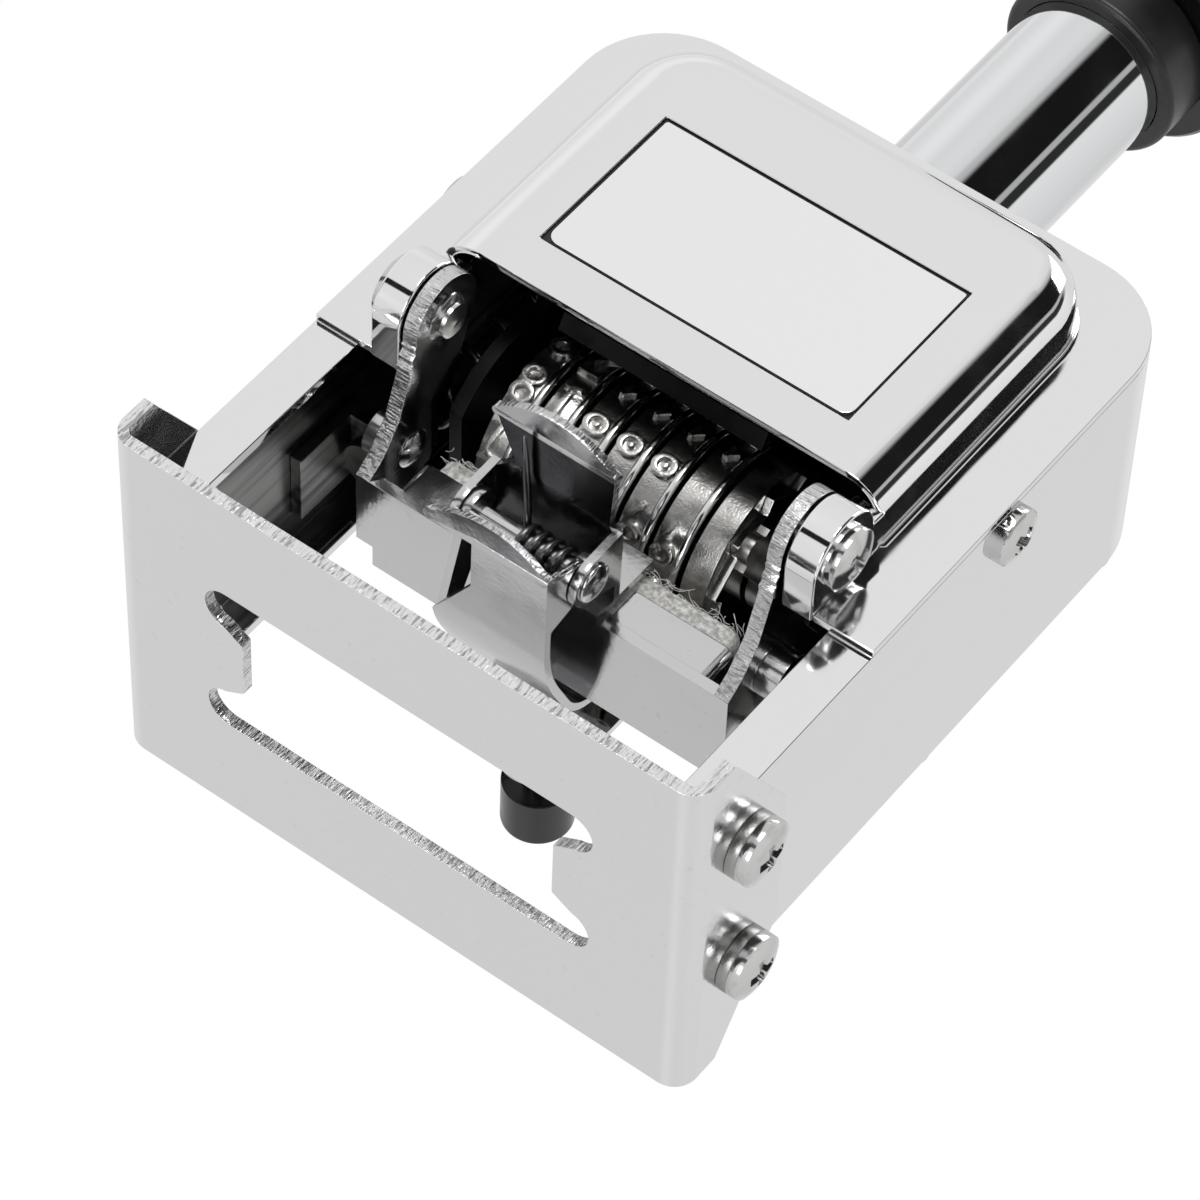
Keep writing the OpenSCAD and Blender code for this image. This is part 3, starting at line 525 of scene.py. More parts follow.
def apply_modifier(piece, kind, **settings):
    """Adds a modifier with these settings and applies it."""
    pick(piece)
    modifier = piece.modifiers.new(kind.lower(), kind)
    for name, value in settings.items():
        setattr(modifier, name, value)
    bpy.ops.object.modifier_apply(modifier=modifier.name)


def break_edges(piece, edge_mm, segments=2, crease=CREASE):
    """Rounds every sharp edge a little, as tumbling and plating do."""
    apply_modifier(
        piece,
        "BEVEL",
        width=edge_mm * MM,
        segments=segments,
        limit_method="ANGLE",
        angle_limit=math.radians(crease),
        use_clamp_overlap=True,
    )


def shade(piece):
    """Shades curved faces smooth and keeps flat ones flat."""
    pick(piece)
    bpy.ops.object.shade_smooth_by_angle(angle=math.radians(CREASE))
    apply_modifier(piece, "WEIGHTED_NORMAL", keep_sharp=True)


def block(name, low, high):
    """A block from one corner to the other, in mm."""
    bpy.ops.object.select_all(action="DESELECT")
    middle = [(a + b) / 2 * MM for a, b in zip(low, high)]
    bpy.ops.mesh.primitive_cube_add(size=1, location=middle)
    piece = bpy.context.object
    piece.name = name
    piece.scale = [(b - a) * MM for a, b in zip(low, high)]
    bpy.ops.object.transform_apply(location=True, rotation=True, scale=True)
    return piece


def front_sheet(name, half_width, z0, z1, y, corner_r):
    """A flat sheet facing forwards, with two round upper corners."""
    bpy.ops.object.select_all(action="DESELECT")
    bpy.ops.mesh.primitive_plane_add(
        size=1, location=(0, y * MM, (z0 + z1) / 2 * MM), rotation=(math.pi / 2, 0, 0)
    )
    piece = bpy.context.object
    piece.name = name
    piece.scale = (2 * half_width * MM, (z1 - z0) * MM, 1)
    bpy.ops.object.transform_apply(location=True, rotation=True, scale=True)
    choose(piece, "VERT", lambda at, way: near(at.z, z1))
    edit(
        piece,
        bpy.ops.mesh.bevel,
        offset=corner_r * MM,
        segments=ROUND_CORNER_STEPS,
        affect="VERTICES",
    )
    return piece


def drill(piece, x0, x1, y, z, radius):
    """Drills a hole along X."""
    bpy.ops.object.select_all(action="DESELECT")
    bpy.ops.mesh.primitive_cylinder_add(
        vertices=HOLE_SIDES,
        radius=radius * MM,
        depth=abs(x1 - x0) * MM,
        location=((x0 + x1) / 2 * MM, y * MM, z * MM),
        rotation=(0, math.pi / 2, 0),
    )
    bit = bpy.context.object
    apply_modifier(piece, "BOOLEAN", operation="DIFFERENCE", solver="EXACT", object=bit)
    pick(bit)
    bpy.ops.object.delete()


def join(pieces):
    """Joins pieces into the first one."""
    bpy.ops.object.select_all(action="DESELECT")
    for piece in pieces:
        piece.select_set(True)
    bpy.context.view_layer.objects.active = pieces[0]
    bpy.ops.object.join()
    return pieces[0]


def seat(piece, material, node, stands_for=True):
    """Gives a finished piece its material and body, and lets it stand for its node."""
    pick(piece)
    bpy.ops.object.transform_apply(location=True, rotation=True, scale=True)
    piece.data.materials.clear()
    piece.data.materials.append(material)
    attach(piece, body_of(frame["nodes"][node])[0])
    if stands_for:
        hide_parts(node)


def mark_sheared(piece, test):
    """Notes which faces the press cut, for the plate to keep their grain."""
    marks = piece.data.attributes.new("sheared", "FLOAT", "FACE")
    for face in piece.data.polygons:
        marks.data[face.index].value = 1.0 if test(face.center / MM, face.normal) else 0.0


def paint(piece, material, test):
    """Gives the faces that pass a test a second material."""
    piece.data.materials.append(material)
    for face in piece.data.polygons:
        if test(face.center / MM, face.normal):
            face.material_index = len(piece.data.materials) - 1


def box_mm(node):
    """The lowest and highest corners of a node, in mm."""
    return [Vector(corner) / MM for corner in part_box(node)]


# The front cover, drawn from one sheet

SHEET = 0.8
CASE_SHEET = 1.2
COVER_HIGH = box_mm("front_cover")[1]
PANEL_LOW, PANEL_HIGH = box_mm("name_panel")
CASE_LOW, CASE_HIGH = box_mm("frame")
COVER_Y = CASE_LOW.y - SHEET
BEZEL_Y = PANEL_LOW.y
BEZEL_X = 23.6
BEZEL_Z = PANEL_LOW.z - 4.8
BEZEL_TOP = COVER_HIGH.z - 3.9
OPEN_X = 20.4
FLANGE_Z = 26.3
CASE_CORNER = 9.0
BEZEL_CORNER = 7.5
BEZEL_EDGE = 4.0
BEZEL_FOOT = 0.6
PIVOT_Y = CASE_LOW.y - 4.8
PIVOT_Z = 30.4
LUG_R = 4.3
PIVOT_HOLE = 1.73
TAB_Z = (42.5, 50.5)
SIDE_SCREW = (CASE_LOW.y + 3.3, 46.8)
SIDE_HOLE = 1.53
RECESS_X = (PANEL_LOW.x - 0.4, PANEL_HIGH.x + 0.1)
RECESS_Z = (PANEL_LOW.z - 0.1, PANEL_HIGH.z + 0.4)
RECESS_DEPTH = 0.4
RECESS_SLACK = 0.02
# The groove's painted shade and dirt start this far below the bezel's face
GROOVE_TOP = 0.15
ARC_SLACK = 0.15
COVER_EDGE = 0.12
LUG_EDGE = 0.35
LUG_ARC_STEPS = 14
# Keeps the upper and the lower half of a lug's round end apart
LUG_ARC_GAP = 0.01
# The lugs reach this far into the bezel's lower edge
LUG_OVERLAP = 0.3
TAB_EDGE = 0.1
TAB_GAP = 0.02
# A drill goes this far past each side
PAST = 1
# The panel clears the recess by this much at its foot and right side
PANEL_TRIM_Z = 0.15
PANEL_TRIM_X = 0.08
PANEL_EDGE = 0.08
PANEL_LOW_CORNER = 1.2
PANEL_TOP_CORNER = 0.3


def on_bezel_outline(at):
    """Whether a point lies on the bezel's outline as seen from the front."""
    x = abs(at.x) - (BEZEL_X - BEZEL_CORNER)
    z = at.z - (BEZEL_TOP - BEZEL_CORNER)
    if x > 0 and z > 0:
        return near(math.hypot(x, z), BEZEL_CORNER, ARC_SLACK)
    if x > 0:
        return near(x, BEZEL_CORNER)
    return z > 0 and near(z, BEZEL_CORNER)


def drawn_sheet():
    """The bezel's face drawn back to the cover's flat, and the flat carried out to the casing's edge."""
    sheet = front_sheet("front_cover_dressed", BEZEL_X, BEZEL_Z, BEZEL_TOP, BEZEL_Y, BEZEL_CORNER)
    choose(sheet, "EDGE", lambda at, way: not near(at.z, BEZEL_Z))
    edit(
        sheet,
        bpy.ops.mesh.extrude_edges_move,
        TRANSFORM_OT_translate={"value": (0, (COVER_Y - BEZEL_Y) * MM, 0)},
    )
    outline = front_sheet("outline", CASE_HIGH.x, BEZEL_Z, COVER_HIGH.z, COVER_Y, CASE_CORNER)
    choose(outline, "FACE", lambda at, way: True)
    edit(outline, bpy.ops.mesh.delete, type="ONLY_FACE")
    choose(outline, "EDGE", lambda at, way: near(at.z, BEZEL_Z))
    edit(outline, bpy.ops.mesh.delete, type="EDGE")
    sheet = join([sheet, outline])
    choose(sheet, "EDGE", lambda at, way: near(at.y, COVER_Y))
    edit(sheet, bpy.ops.mesh.bridge_edge_loops)
    choose(sheet, "EDGE", lambda at, way: near(at.y, COVER_Y) and near(at.z, BEZEL_Z))
    edit(
        sheet,
        bpy.ops.mesh.extrude_edges_move,
        TRANSFORM_OT_translate={"value": (0, 0, (FLANGE_Z - BEZEL_Z) * MM)},
    )
    choose(sheet, "FACE", lambda at, way: True)
    edit(sheet, bpy.ops.mesh.normals_make_consistent, inside=False)
    fronts = [face.normal.y for face in sheet.data.polygons if near(face.center.y / MM, BEZEL_Y)]
    if max(fronts) > 0:
        choose(sheet, "FACE", lambda at, way: True)
        edit(sheet, bpy.ops.mesh.flip_normals)
    return sheet


def round_bezel(sheet):
    """Rounds the bezel's rim, and the foot where it rises from the flat."""
    for y, radius, segments in ((BEZEL_Y, BEZEL_EDGE, 10), (COVER_Y, BEZEL_FOOT, 5)):
        choose(
            sheet,
            "EDGE",
            lambda at, way, y=y: near(at.y, y) and abs(way.y) < SQUARE and on_bezel_outline(at),
        )
        edit(sheet, bpy.ops.mesh.bevel, offset=radius * MM, segments=segments, affect="EDGES")


def over_recess(at):
    """Whether a point lies over the recess as seen from the front."""
    in_width = RECESS_X[0] - RECESS_SLACK < at.x < RECESS_X[1] + RECESS_SLACK
    in_height = RECESS_Z[0] - RECESS_SLACK < at.z < RECESS_Z[1] + RECESS_SLACK
    return in_width and in_height


def press_recess(sheet):
    """Presses the shallow recess of the name panel into the bezel's face."""
    cuts = [((x * MM, 0, 0), (1, 0, 0)) for x in RECESS_X]
    cuts += [((0, 0, z * MM), (0, 0, 1)) for z in RECESS_Z]
    for point, normal in cuts:
        choose(sheet, "FACE", lambda at, way: near(at.y, BEZEL_Y) and way.y < -FLAT)
        edit(sheet, bpy.ops.mesh.bisect, plane_co=point, plane_no=normal)
    choose(sheet, "FACE", lambda at, way: near(at.y, BEZEL_Y) and over_recess(at))
    edit(
        sheet,
        bpy.ops.mesh.extrude_region_move,
        TRANSFORM_OT_translate={"value": (0, RECESS_DEPTH * MM, 0)},
    )


def in_groove(at, way):
    """Whether a face is part of the recess's floor or walls."""
    depth = at.y - BEZEL_Y
    return over_recess(at) and GROOVE_TOP < depth < RECESS_DEPTH + RECESS_SLACK


def pivot_lug(side):
    """A lug with a round front end, under the bezel's lower corner."""
    low_x, high_x = sorted((side * OPEN_X, side * BEZEL_X))
    front = PIVOT_Y - LUG_R
    lug = block(
        "pivot_lug", (low_x, front, PIVOT_Z - LUG_R), (high_x, CASE_LOW.y, PIVOT_Z + LUG_R)
    )
    choose(lug, "EDGE", lambda at, way: abs(way.x) > PARALLEL and near(at.y, front))
    edit(
        lug,
        bpy.ops.mesh.bevel,
        offset=(LUG_R - LUG_ARC_GAP) * MM,
        segments=LUG_ARC_STEPS,
        affect="EDGES",
    )
    choose(lug, "FACE", lambda at, way: way.z > FLAT and at.y > PIVOT_Y)
    edit(
        lug,
        bpy.ops.mesh.extrude_region_move,
        TRANSFORM_OT_translate={"value": (0, 0, (BEZEL_Z + LUG_OVERLAP - PIVOT_Z - LUG_R) * MM)},
    )
    break_edges(lug, LUG_EDGE, segments=3, crease=40)
    drill(lug, low_x - PAST, high_x + PAST, PIVOT_Y, PIVOT_Z, PIVOT_HOLE)
    return lug


def side_tab(side):
    """A tongue of the cover that reaches back inside the casing to its side screw."""
    inside = CASE_HIGH.x - CASE_SHEET
    low_x, high_x = sorted((side * (inside - SHEET), side * inside))
    tab = block(
        "side_tab", (low_x, COVER_Y + TAB_GAP, TAB_Z[0]), (high_x, COVER_HIGH.y, TAB_Z[1])
    )
    break_edges(tab, TAB_EDGE)
    drill(tab, low_x - PAST, high_x + PAST, *SIDE_SCREW, SIDE_HOLE)
    return tab


def front_cover():
    """The whole cover: drawn sheet, two lugs and two side tabs."""
    sheet = drawn_sheet()
    round_bezel(sheet)
    press_recess(sheet)
    apply_modifier(sheet, "SOLIDIFY", thickness=SHEET * MM, offset=-1, use_even_offset=True)
    break_edges(sheet, COVER_EDGE, crease=50)
    sides = [make(side) for side in (-1, 1) for make in (pivot_lug, side_tab)]
    cover = join([sheet, *sides])
    shade(cover)
    seat(cover, CASING, "front_cover")
    # The recess's floor and walls get painted shade and dirt
    paint(cover, GROOVE_SHADE_AND_DIRT, in_groove)


def name_panel():
    """Bare plate in the recess, rounded most at its lower corners."""
    low = PANEL_LOW + Vector((0, 0, PANEL_TRIM_Z))
    high = PANEL_HIGH - Vector((PANEL_TRIM_X, 0, 0))
    panel = block("name_panel_dressed", low, high)
    for z, radius in ((low.z, PANEL_LOW_CORNER), (high.z, PANEL_TOP_CORNER)):
        choose(panel, "EDGE", lambda at, way, z=z: abs(way.y) > PARALLEL and near(at.z, z))
        edit(panel, bpy.ops.mesh.bevel, offset=radius * MM, segments=6, affect="EDGES")
    break_edges(panel, PANEL_EDGE)
    shade(panel)
    seat(panel, PANEL, "name_panel")


# The felt pad and its loose fibres

# The block stays this far inside the pad's own box, for its uneven skin
FELT_INSET = 0.1
FELT_HEADROOM = 0.15
FELT_CORNER = 1.1
FELT_RIM = 0.8
FELT_CELL = 0.3
FELT_LUMP = 0.9
FELT_SKIN = 0.28
FIBRES = 210
FIBRE_R = 0.04
# The length in mm and the curl in degrees of each kind of fibre
FIBRE_KINDS = ((1.6, 60), (2.4, 110), (1.2, 150), (3.0, 80))
FIBRE_SEED = 7
FIBRE_SPREAD = (-0.4, 0.3)
# The share of fibres at the front edge, how far below the top they start and how far they lean
FRONT_SHARE = 0.7
FRONT_DROP = (0.1, 1.4)
FRONT_LEAN = 0.6
# The same for those on top
TOP_DROP = (0.1, 0.3)
TOP_LEAN = 0.1


def felt_pad():
    """A strip of thick felt with soft corners and an uneven skin."""
    low, high = box_mm("ink_pad")
    top = high.z - FELT_HEADROOM
    pad = block(
        "ink_pad_dressed",
        low + Vector((FELT_INSET, FELT_INSET, 0)),
        (high.x - FELT_INSET, high.y - FELT_INSET, top),
    )
    choose(pad, "EDGE", lambda at, way: abs(way.z) > PARALLEL)
    edit(pad, bpy.ops.mesh.bevel, offset=FELT_CORNER * MM, segments=4, affect="EDGES")
    choose(pad, "EDGE", lambda at, way: abs(way.z) < SQUARE and near(at.z, top))
    edit(pad, bpy.ops.mesh.bevel, offset=FELT_RIM * MM, segments=4, affect="EDGES")
    apply_modifier(pad, "REMESH", mode="VOXEL", voxel_size=FELT_CELL * MM)
    lumps = bpy.data.textures.new("felt lumps", "CLOUDS")
    lumps.noise_scale = FELT_LUMP * MM
    lumps.noise_depth = 3
    apply_modifier(
        pad,
        "DISPLACE",
        texture=lumps,
        strength=FELT_SKIN * MM,
        mid_level=0.75,
        texture_coords="LOCAL",
    )
    pick(pad)
    bpy.ops.object.shade_smooth()
    seat(pad, FELT, "ink_pad")


def curled_fibre(length_mm, curl):
    """One wool fibre: a thin tube along Z, curled to an arc of this many degrees."""
    bpy.ops.object.select_all(action="DESELECT")
    bpy.ops.mesh.primitive_cylinder_add(vertices=4, radius=FIBRE_R * MM, depth=length_mm * MM)
    fibre = bpy.context.object
    choose(fibre, "EDGE", lambda at, way: abs(way.z) > PARALLEL)
    edit(fibre, bpy.ops.mesh.subdivide, number_cuts=5)
    apply_modifier(
        fibre, "SIMPLE_DEFORM", deform_method="BEND", deform_axis="X", angle=math.radians(curl)
    )
    return fibre


def loose_fibres():
    """Stray fibres round the felt's edges, drawn twice as thick as wool so that they show."""
    low, high = box_mm("ink_pad")
    chance = random.Random(FIBRE_SEED)
    patterns = [curled_fibre(*size) for size in FIBRE_KINDS]
    strays = []
    for _ in range(FIBRES):
        pattern = chance.choice(patterns)
        fibre = pattern.copy()
        fibre.data = pattern.data.copy()
        bpy.context.scene.collection.objects.link(fibre)
        in_front = chance.random() < FRONT_SHARE
        drop, lean = (FRONT_DROP, FRONT_LEAN) if in_front else (TOP_DROP, TOP_LEAN)
        y = low.y + FELT_INSET if in_front else chance.uniform(low.y, high.y)
        fibre.location = (
            chance.uniform(low.x, high.x) * MM,
            (y + chance.uniform(*FIBRE_SPREAD)) * MM,
            (high.z - chance.uniform(*drop)) * MM,
        )
        fibre.rotation_euler = (
            math.pi / 2 + chance.uniform(-lean, lean),
            chance.uniform(0, 2 * math.pi),
            chance.uniform(0, 2 * math.pi),
        )
        strays.append(fibre)
    for pattern in patterns:
        pick(pattern)
        bpy.ops.object.delete()
    tuft = join(strays)
    tuft.name = "felt_fibres"
    pick(tuft)
    bpy.ops.object.shade_smooth()
    seat(tuft, FELT, "ink_pad", stands_for=False)


# The handle's radius and height above its foot, in mm: first the sharp foot, then the body
HANDLE_FOOT = [(11.6, 0), (12, 0.4), (12, 1.9), (11.5, 2.4)]
HANDLE_BODY = [
    (10.3, 3.6),
    (9.5, 6),
    (9.3, 9),
    (9.7, 13),
    (11.2, 18),
    (13.3, 23),
    (15.2, 28),
    (16.2, 32),
    (16.5, 35),
    (16.2, 38),
    (15.1, 41),
    (13, 43.3),
    (9.8, 44.9),
    (5.5, 45.7),
    (0, 45.9),
]
# The shaft's play in the handle's bore
HANDLE_PLAY = 0.02
HANDLE_SIDES = 96
CURVE_STEPS = 4


def on_curve(t, a, b, c, d):
    """A value part of the way from b to c, on the smooth curve through a, b, c and d."""
    slope = (c - a) / 2
    next_slope = (d - b) / 2
    bend = 3 * (c - b) - 2 * slope - next_slope
    twist = 2 * (b - c) + slope + next_slope
    return b + slope * t + bend * t**2 + twist * t**3


def smooth_outline(points, before):
    """A smooth curve through the points of an outline that ends level on the axis."""
    beyond = (-points[-2][0], points[-2][1])
    row = [before] + points + [beyond]
    outline = []
    for places in zip(row, row[1:], row[2:], row[3:]):
        for step in range(CURVE_STEPS):
            part = step / CURVE_STEPS
            outline.append([on_curve(part, *along) for along in zip(*places)])
    return outline


def turned_handle():
    """The handle, turned on a lathe: bored for the shaft, then shaped from its foot up to its crown."""
    foot = box_mm("handle_knob")[0].z
    shaft_end = box_mm("plunger_tube")[1]
    bore = shaft_end.x + HANDLE_PLAY
    bpy.ops.object.select_all(action="DESELECT")
    bpy.ops.mesh.primitive_circle_add(
        vertices=HANDLE_SIDES, radius=bore * MM, location=(0, 0, shaft_end.z * MM)
    )
    handle = bpy.context.object
    handle.name = "turned_handle"
    bpy.ops.object.transform_apply(location=True, rotation=True, scale=True)
    bpy.ops.object.mode_set(mode="EDIT")
    bpy.ops.mesh.select_mode(type="VERT")
    bpy.ops.mesh.select_all(action="SELECT")
    radius, height = bore, shaft_end.z - foot
    rings = [(bore, 0)] + HANDLE_FOOT + smooth_outline(HANDLE_BODY, HANDLE_FOOT[-1])
    for wider, higher in rings:
        rise = (0, 0, (higher - height) * MM)
        bpy.ops.mesh.extrude_region_move(TRANSFORM_OT_translate={"value": rise})
        bpy.ops.transform.resize(
            value=(wider / radius, wider / radius, 1), center_override=(0, 0, (foot + higher) * MM)
        )
        radius, height = wider, higher
    rise = (0, 0, (HANDLE_BODY[-1][1] - height) * MM)
    bpy.ops.mesh.extrude_region_move(TRANSFORM_OT_translate={"value": rise})
    bpy.ops.mesh.merge(type="CENTER")
    bpy.ops.object.mode_set(mode="OBJECT")
    choose(
        handle,
        "VERT",
        lambda at, way: near(math.hypot(at.x, at.y), bore) and near(at.z, shaft_end.z),
    )
    edit(handle, bpy.ops.mesh.edge_face_add)
    choose(handle, "FACE", lambda at, way: True)
    edit(handle, bpy.ops.mesh.normals_make_consistent, inside=False)
    shade(handle)
    seat(handle, BLACK, "handle_knob")


# Pieces whose form stands: their facets merged, their edges broken or their wire made round

# Corners this close, in mm, are one, and facets within this many degrees are one flat
WELD = 0.002
ONE_FLAT = 0.5


def node_copy(node):
    """A copy of a node's shape with its loose triangles merged."""
    piece = bpy.data.objects.new(node + "_dressed", frame["nodes"][node].data.copy())
    bpy.context.scene.collection.objects.link(piece)
    pick(piece)
    bpy.ops.object.mode_set(mode="EDIT")
    bpy.ops.mesh.select_all(action="SELECT")
    bpy.ops.mesh.remove_doubles(threshold=WELD * MM)
    bpy.ops.mesh.dissolve_limited(angle_limit=math.radians(ONE_FLAT))
    bpy.ops.object.mode_set(mode="OBJECT")
    return piece


def press_springs(coils):
    """Gives the return springs a mesh of their own."""
    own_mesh(coils)


def round_wire(node, levels):
    """A coil whose wire is made round."""
    coil = node_copy(node)
    choose(coil, "FACE", lambda at, way: True)
    edit(coil, bpy.ops.mesh.tris_convert_to_quads)
    apply_modifier(coil, "SUBSURF", levels=levels, render_levels=levels)
    pick(coil)
    bpy.ops.object.shade_smooth()
    seat(coil, WIRE, node)
    return coil


# How far each piece's edges are broken; the rest take the last value
EDGE_MM = {
    "frame": 0.3,
    "back_plate": 0.25,
    "foot_plate": 0.18,
    "ink_arm": 0.15,
    "clip_upper": 0.15,
    "clip_lower": 0.15,
    "number_wheel": 0.05,
    "wheel_disc": 0.28,
    "shaft_nuts": 0.1,
}
OTHER_EDGE = 0.12
# Where the press cut: between these heights on the foot plate, beyond these places on arm and clip
CUT_HEIGHTS = (0.1, 1.1)
SIDE_ARM_X = 18.4
LIP_Y = -16
JAW_Y = -14
# Which faces of a sheet the press cut: they look along the sheet
SHEARED = {
    "foot_plate": lambda at, way: abs(way.z) < 0.5
    and (abs(way.y) > 0.3 or CUT_HEIGHTS[0] < at.z < CUT_HEIGHTS[1]),
    "ink_arm": lambda at, way: abs(way.x) < 0.3 and abs(at.x) > SIDE_ARM_X,
    "clip_upper": lambda at, way: abs(way.z) < 0.3 and at.y < LIP_Y,
    "clip_lower": lambda at, way: abs(way.z) < 0.4 and at.y < JAW_Y,
}
# How far from the middle the casing's inner faces lie: side walls, then front and rear flanges
INNER_X, INNER_Y = 28.6, 11.6
# How much larger a wheel disc's rim is made
RIM_RAISE = 1.026
# The flat of the finger plate: where it begins, behind its lip, and the heights it lies between
PLATE_Y = -18.4
PLATE_Z = (21, 24)


def inside_casing(at, way):
    """Whether a face of the casing looks inwards."""
    wall = near(abs(at.x), INNER_X) and at.x * way.x < 0
    return wall or (near(abs(at.y), INNER_Y) and at.y * way.y < 0)


def raise_rim(disc, node):
    """Brings a disc's rim up towards the digits, so that it shows between them."""
    low, high = box_mm(node)
    choose(disc, "FACE", lambda at, way: True)
    edit(
        disc,
        bpy.ops.transform.resize,
        value=(1, RIM_RAISE, RIM_RAISE),
        center_override=(low + high) / 2 * MM,
    )


# Each screw head: its top's middle, its radius, how deep its cross goes and how far the cross is turned
HEADS = {
    "foot_screws": [((33.8, y, 7.3), 3.2, 1.0, 0) for y in (-8.2, 8.2)],
    "side_screws": [((31.4, -9.4, 46.8), 2.8, 0.95, 45)],
    "pivot_screws": [((25.2, -17.5, 30.4), 3.0, 0.95, 30)],
}
# A wing of the cross, as shares of the head's radius, and how much narrower it is at its foot
CROSS_LENGTH = 1.25
CROSS_WIDTH = 0.4
CROSS_TAPER = 0.55
# The bit starts this far above the head
CROSS_ABOVE = 0.5


def cross_bit(radius, depth):
    """A driver bit pointing down: two tapered wings."""
    wings = []
    for long_x, long_y in ((CROSS_LENGTH, CROSS_WIDTH), (CROSS_WIDTH, CROSS_LENGTH)):
        half_x, half_y = long_x * radius / 2, long_y * radius / 2
        wing = block("wing", (-half_x, -half_y, -depth), (half_x, half_y, CROSS_ABOVE))
        choose(wing, "FACE", lambda at, way: way.z < -PARALLEL)
        edit(
            wing,
            bpy.ops.transform.resize,
            value=(CROSS_TAPER, CROSS_TAPER, 1),
            center_override=(0, 0, -depth * MM),
        )
        wings.append(wing)
    return wings


def cut_crosses(screws, heads):
    """Presses a cross recess into the heads of screws that lie along X, left and right."""
    for (x, y, z), radius, depth, turn in heads:
        for side in (-1, 1):
            for wing in cross_bit(radius, depth):
                wing.rotation_euler = (0, side * math.pi / 2, 0)
                wing.rotation_euler.rotate_axis("Z", math.radians(turn))
                wing.location = Vector((side * x, y, z)) * MM
                apply_modifier(
                    screws, "BOOLEAN", operation="DIFFERENCE", solver="EXACT", object=wing
                )
                pick(wing)
                bpy.ops.object.delete()


def on_plate(at, way):
    """Whether a face is on the underside of the finger plate's flat."""
    return way.z < -0.5 and at.y > PLATE_Y and PLATE_Z[0] < at.z < PLATE_Z[1]


def finished(node):
    """A node's own form with broken edges, its finish and, where it has one, its second finish."""
    piece = node_copy(node)
    if node.startswith("wheel_disc"):
        raise_rim(piece, node)
    if node in HEADS:
        cut_crosses(piece, HEADS[node])
    kind = node.rstrip("_0123456789")
    break_edges(piece, EDGE_MM.get(kind, OTHER_EDGE))
    shade(piece)
    seat(piece, OWN_FINISH.get(node, FINISH[SLOT_OF[node]]), node)
    if node in SHEARED:
        mark_sheared(piece, SHEARED[node])
    # The casing's inner faces get painted shade, streaked with painted reflections
    if node == "frame":
        paint(piece, CASING_INSIDE_SHADE, inside_casing)
    # The finger plate's underside gets a dark painted shade
    if node == "clip_upper":
        paint(piece, FINGER_PLATE_SHADE, on_plate)


front_cover()
name_panel()
felt_pad()
loose_fibres()
press_springs(round_wire("return_springs", 1))
round_wire("clip_spring", 2)
turned_handle()
MADE_ABOVE = (
    "front_cover",
    "name_panel",
    "ink_pad",
    "return_springs",
    "clip_spring",
    "handle_knob",
)
for name in sorted(frame["nodes"]):
    if name not in MADE_ABOVE:
        finished(name)


# Floor, studio and camera

FLOOR_SIZE = 4
FLOOR_Z = -0.05
FLOOR_TONE = "F4F4F4"


def pale_floor():
    """A floor that the camera sees from above only, so that the underside can be looked at."""
    bpy.ops.object.select_all(action="DESELECT")
    bpy.ops.mesh.primitive_plane_add(size=FLOOR_SIZE, location=(0, 0, FLOOR_Z * MM))
    floor = bpy.context.object
    floor.name = "floor"
    material = bpy.data.materials.new("pale floor")
    material.use_nodes = True
    tree = material.node_tree
    tree.nodes.clear()
    path = add_node(tree, "ShaderNodeLightPath")
    side = add_node(tree, "ShaderNodeNewGeometry")
    above = add_node(
        tree, "ShaderNodeMath", {"operation": "SUBTRACT", 0: 1.0}, {1: (side, "Backfacing")}
    )
    seen = add_node(
        tree,
        "ShaderNodeMath",
        {"operation": "MULTIPLY"},
        {0: (path, "Is Camera Ray"), 1: (above, 0)},
    )
    clear = add_node(tree, "ShaderNodeBsdfTransparent")
    pale = add_node(tree, "ShaderNodeBsdfDiffuse", {"Color": linear(FLOOR_TONE)})
    mix = add_node(tree, "ShaderNodeMixShader", (), {0: (seen, 0), 1: (clear, 0), 2: (pale, 0)})
    add_node(tree, "ShaderNodeOutputMaterial", (), {"Surface": (mix, 0)})
    floor.data.materials.append(material)


# What the plate mirrors: heading in degrees from +X, and the brightness there
SURROUND = [
    (-180, 0.84),
    (-150, 0.96),
    (-128, 0.84),
    (-108, 0.86),
    (-92, 0.8),
    (-84, 0.55),
    (-75, 0.01),
    (-31, 0.01),
    (-29, 0.5),
    (-23, 0.5),
    (-21, 0.03),
    (-9, 0.03),
    (-6, 0.9),
    (20, 0.85),
    (40, 0.8),
    (65, 0.74),
    (90, 0.8),
    (114, 0.72),
    (134, 0.8),
    (142, 0.72),
    (158, 0.72),
    (166, 0.9),
    (180, 0.84),
]
# The dark edge of the table, seen low in front: height from 0 at the bottom to 1 at the top, and depth
TABLE_EDGE = [(0.0, 0), (0.2, 0), (0.21, 1), (0.29, 1), (0.3, 0), (1.0, 0)]
EDGE_TONE = "202020"
# Headings up to this share of a turn, from -180 degrees, are in front
FRONT_HALF = 0.29
# The pale table top above that edge, which fades out at the height of the horizon
TABLE_TOP = [(0.0, 0), (0.29, 0), (0.31, 1), (0.47, 1), (0.49, 0), (1.0, 0)]
TOP_TONE = "DCDCDC"
# The white panel overhead, and where its edge lies as a share of straight up
OVERHEAD_TONE = "E6E6E6"
OVERHEAD_EDGE = (0.8, 0.97)
# How bright the studio is where it lights matt surfaces
SOFT_LIGHT = 0.65


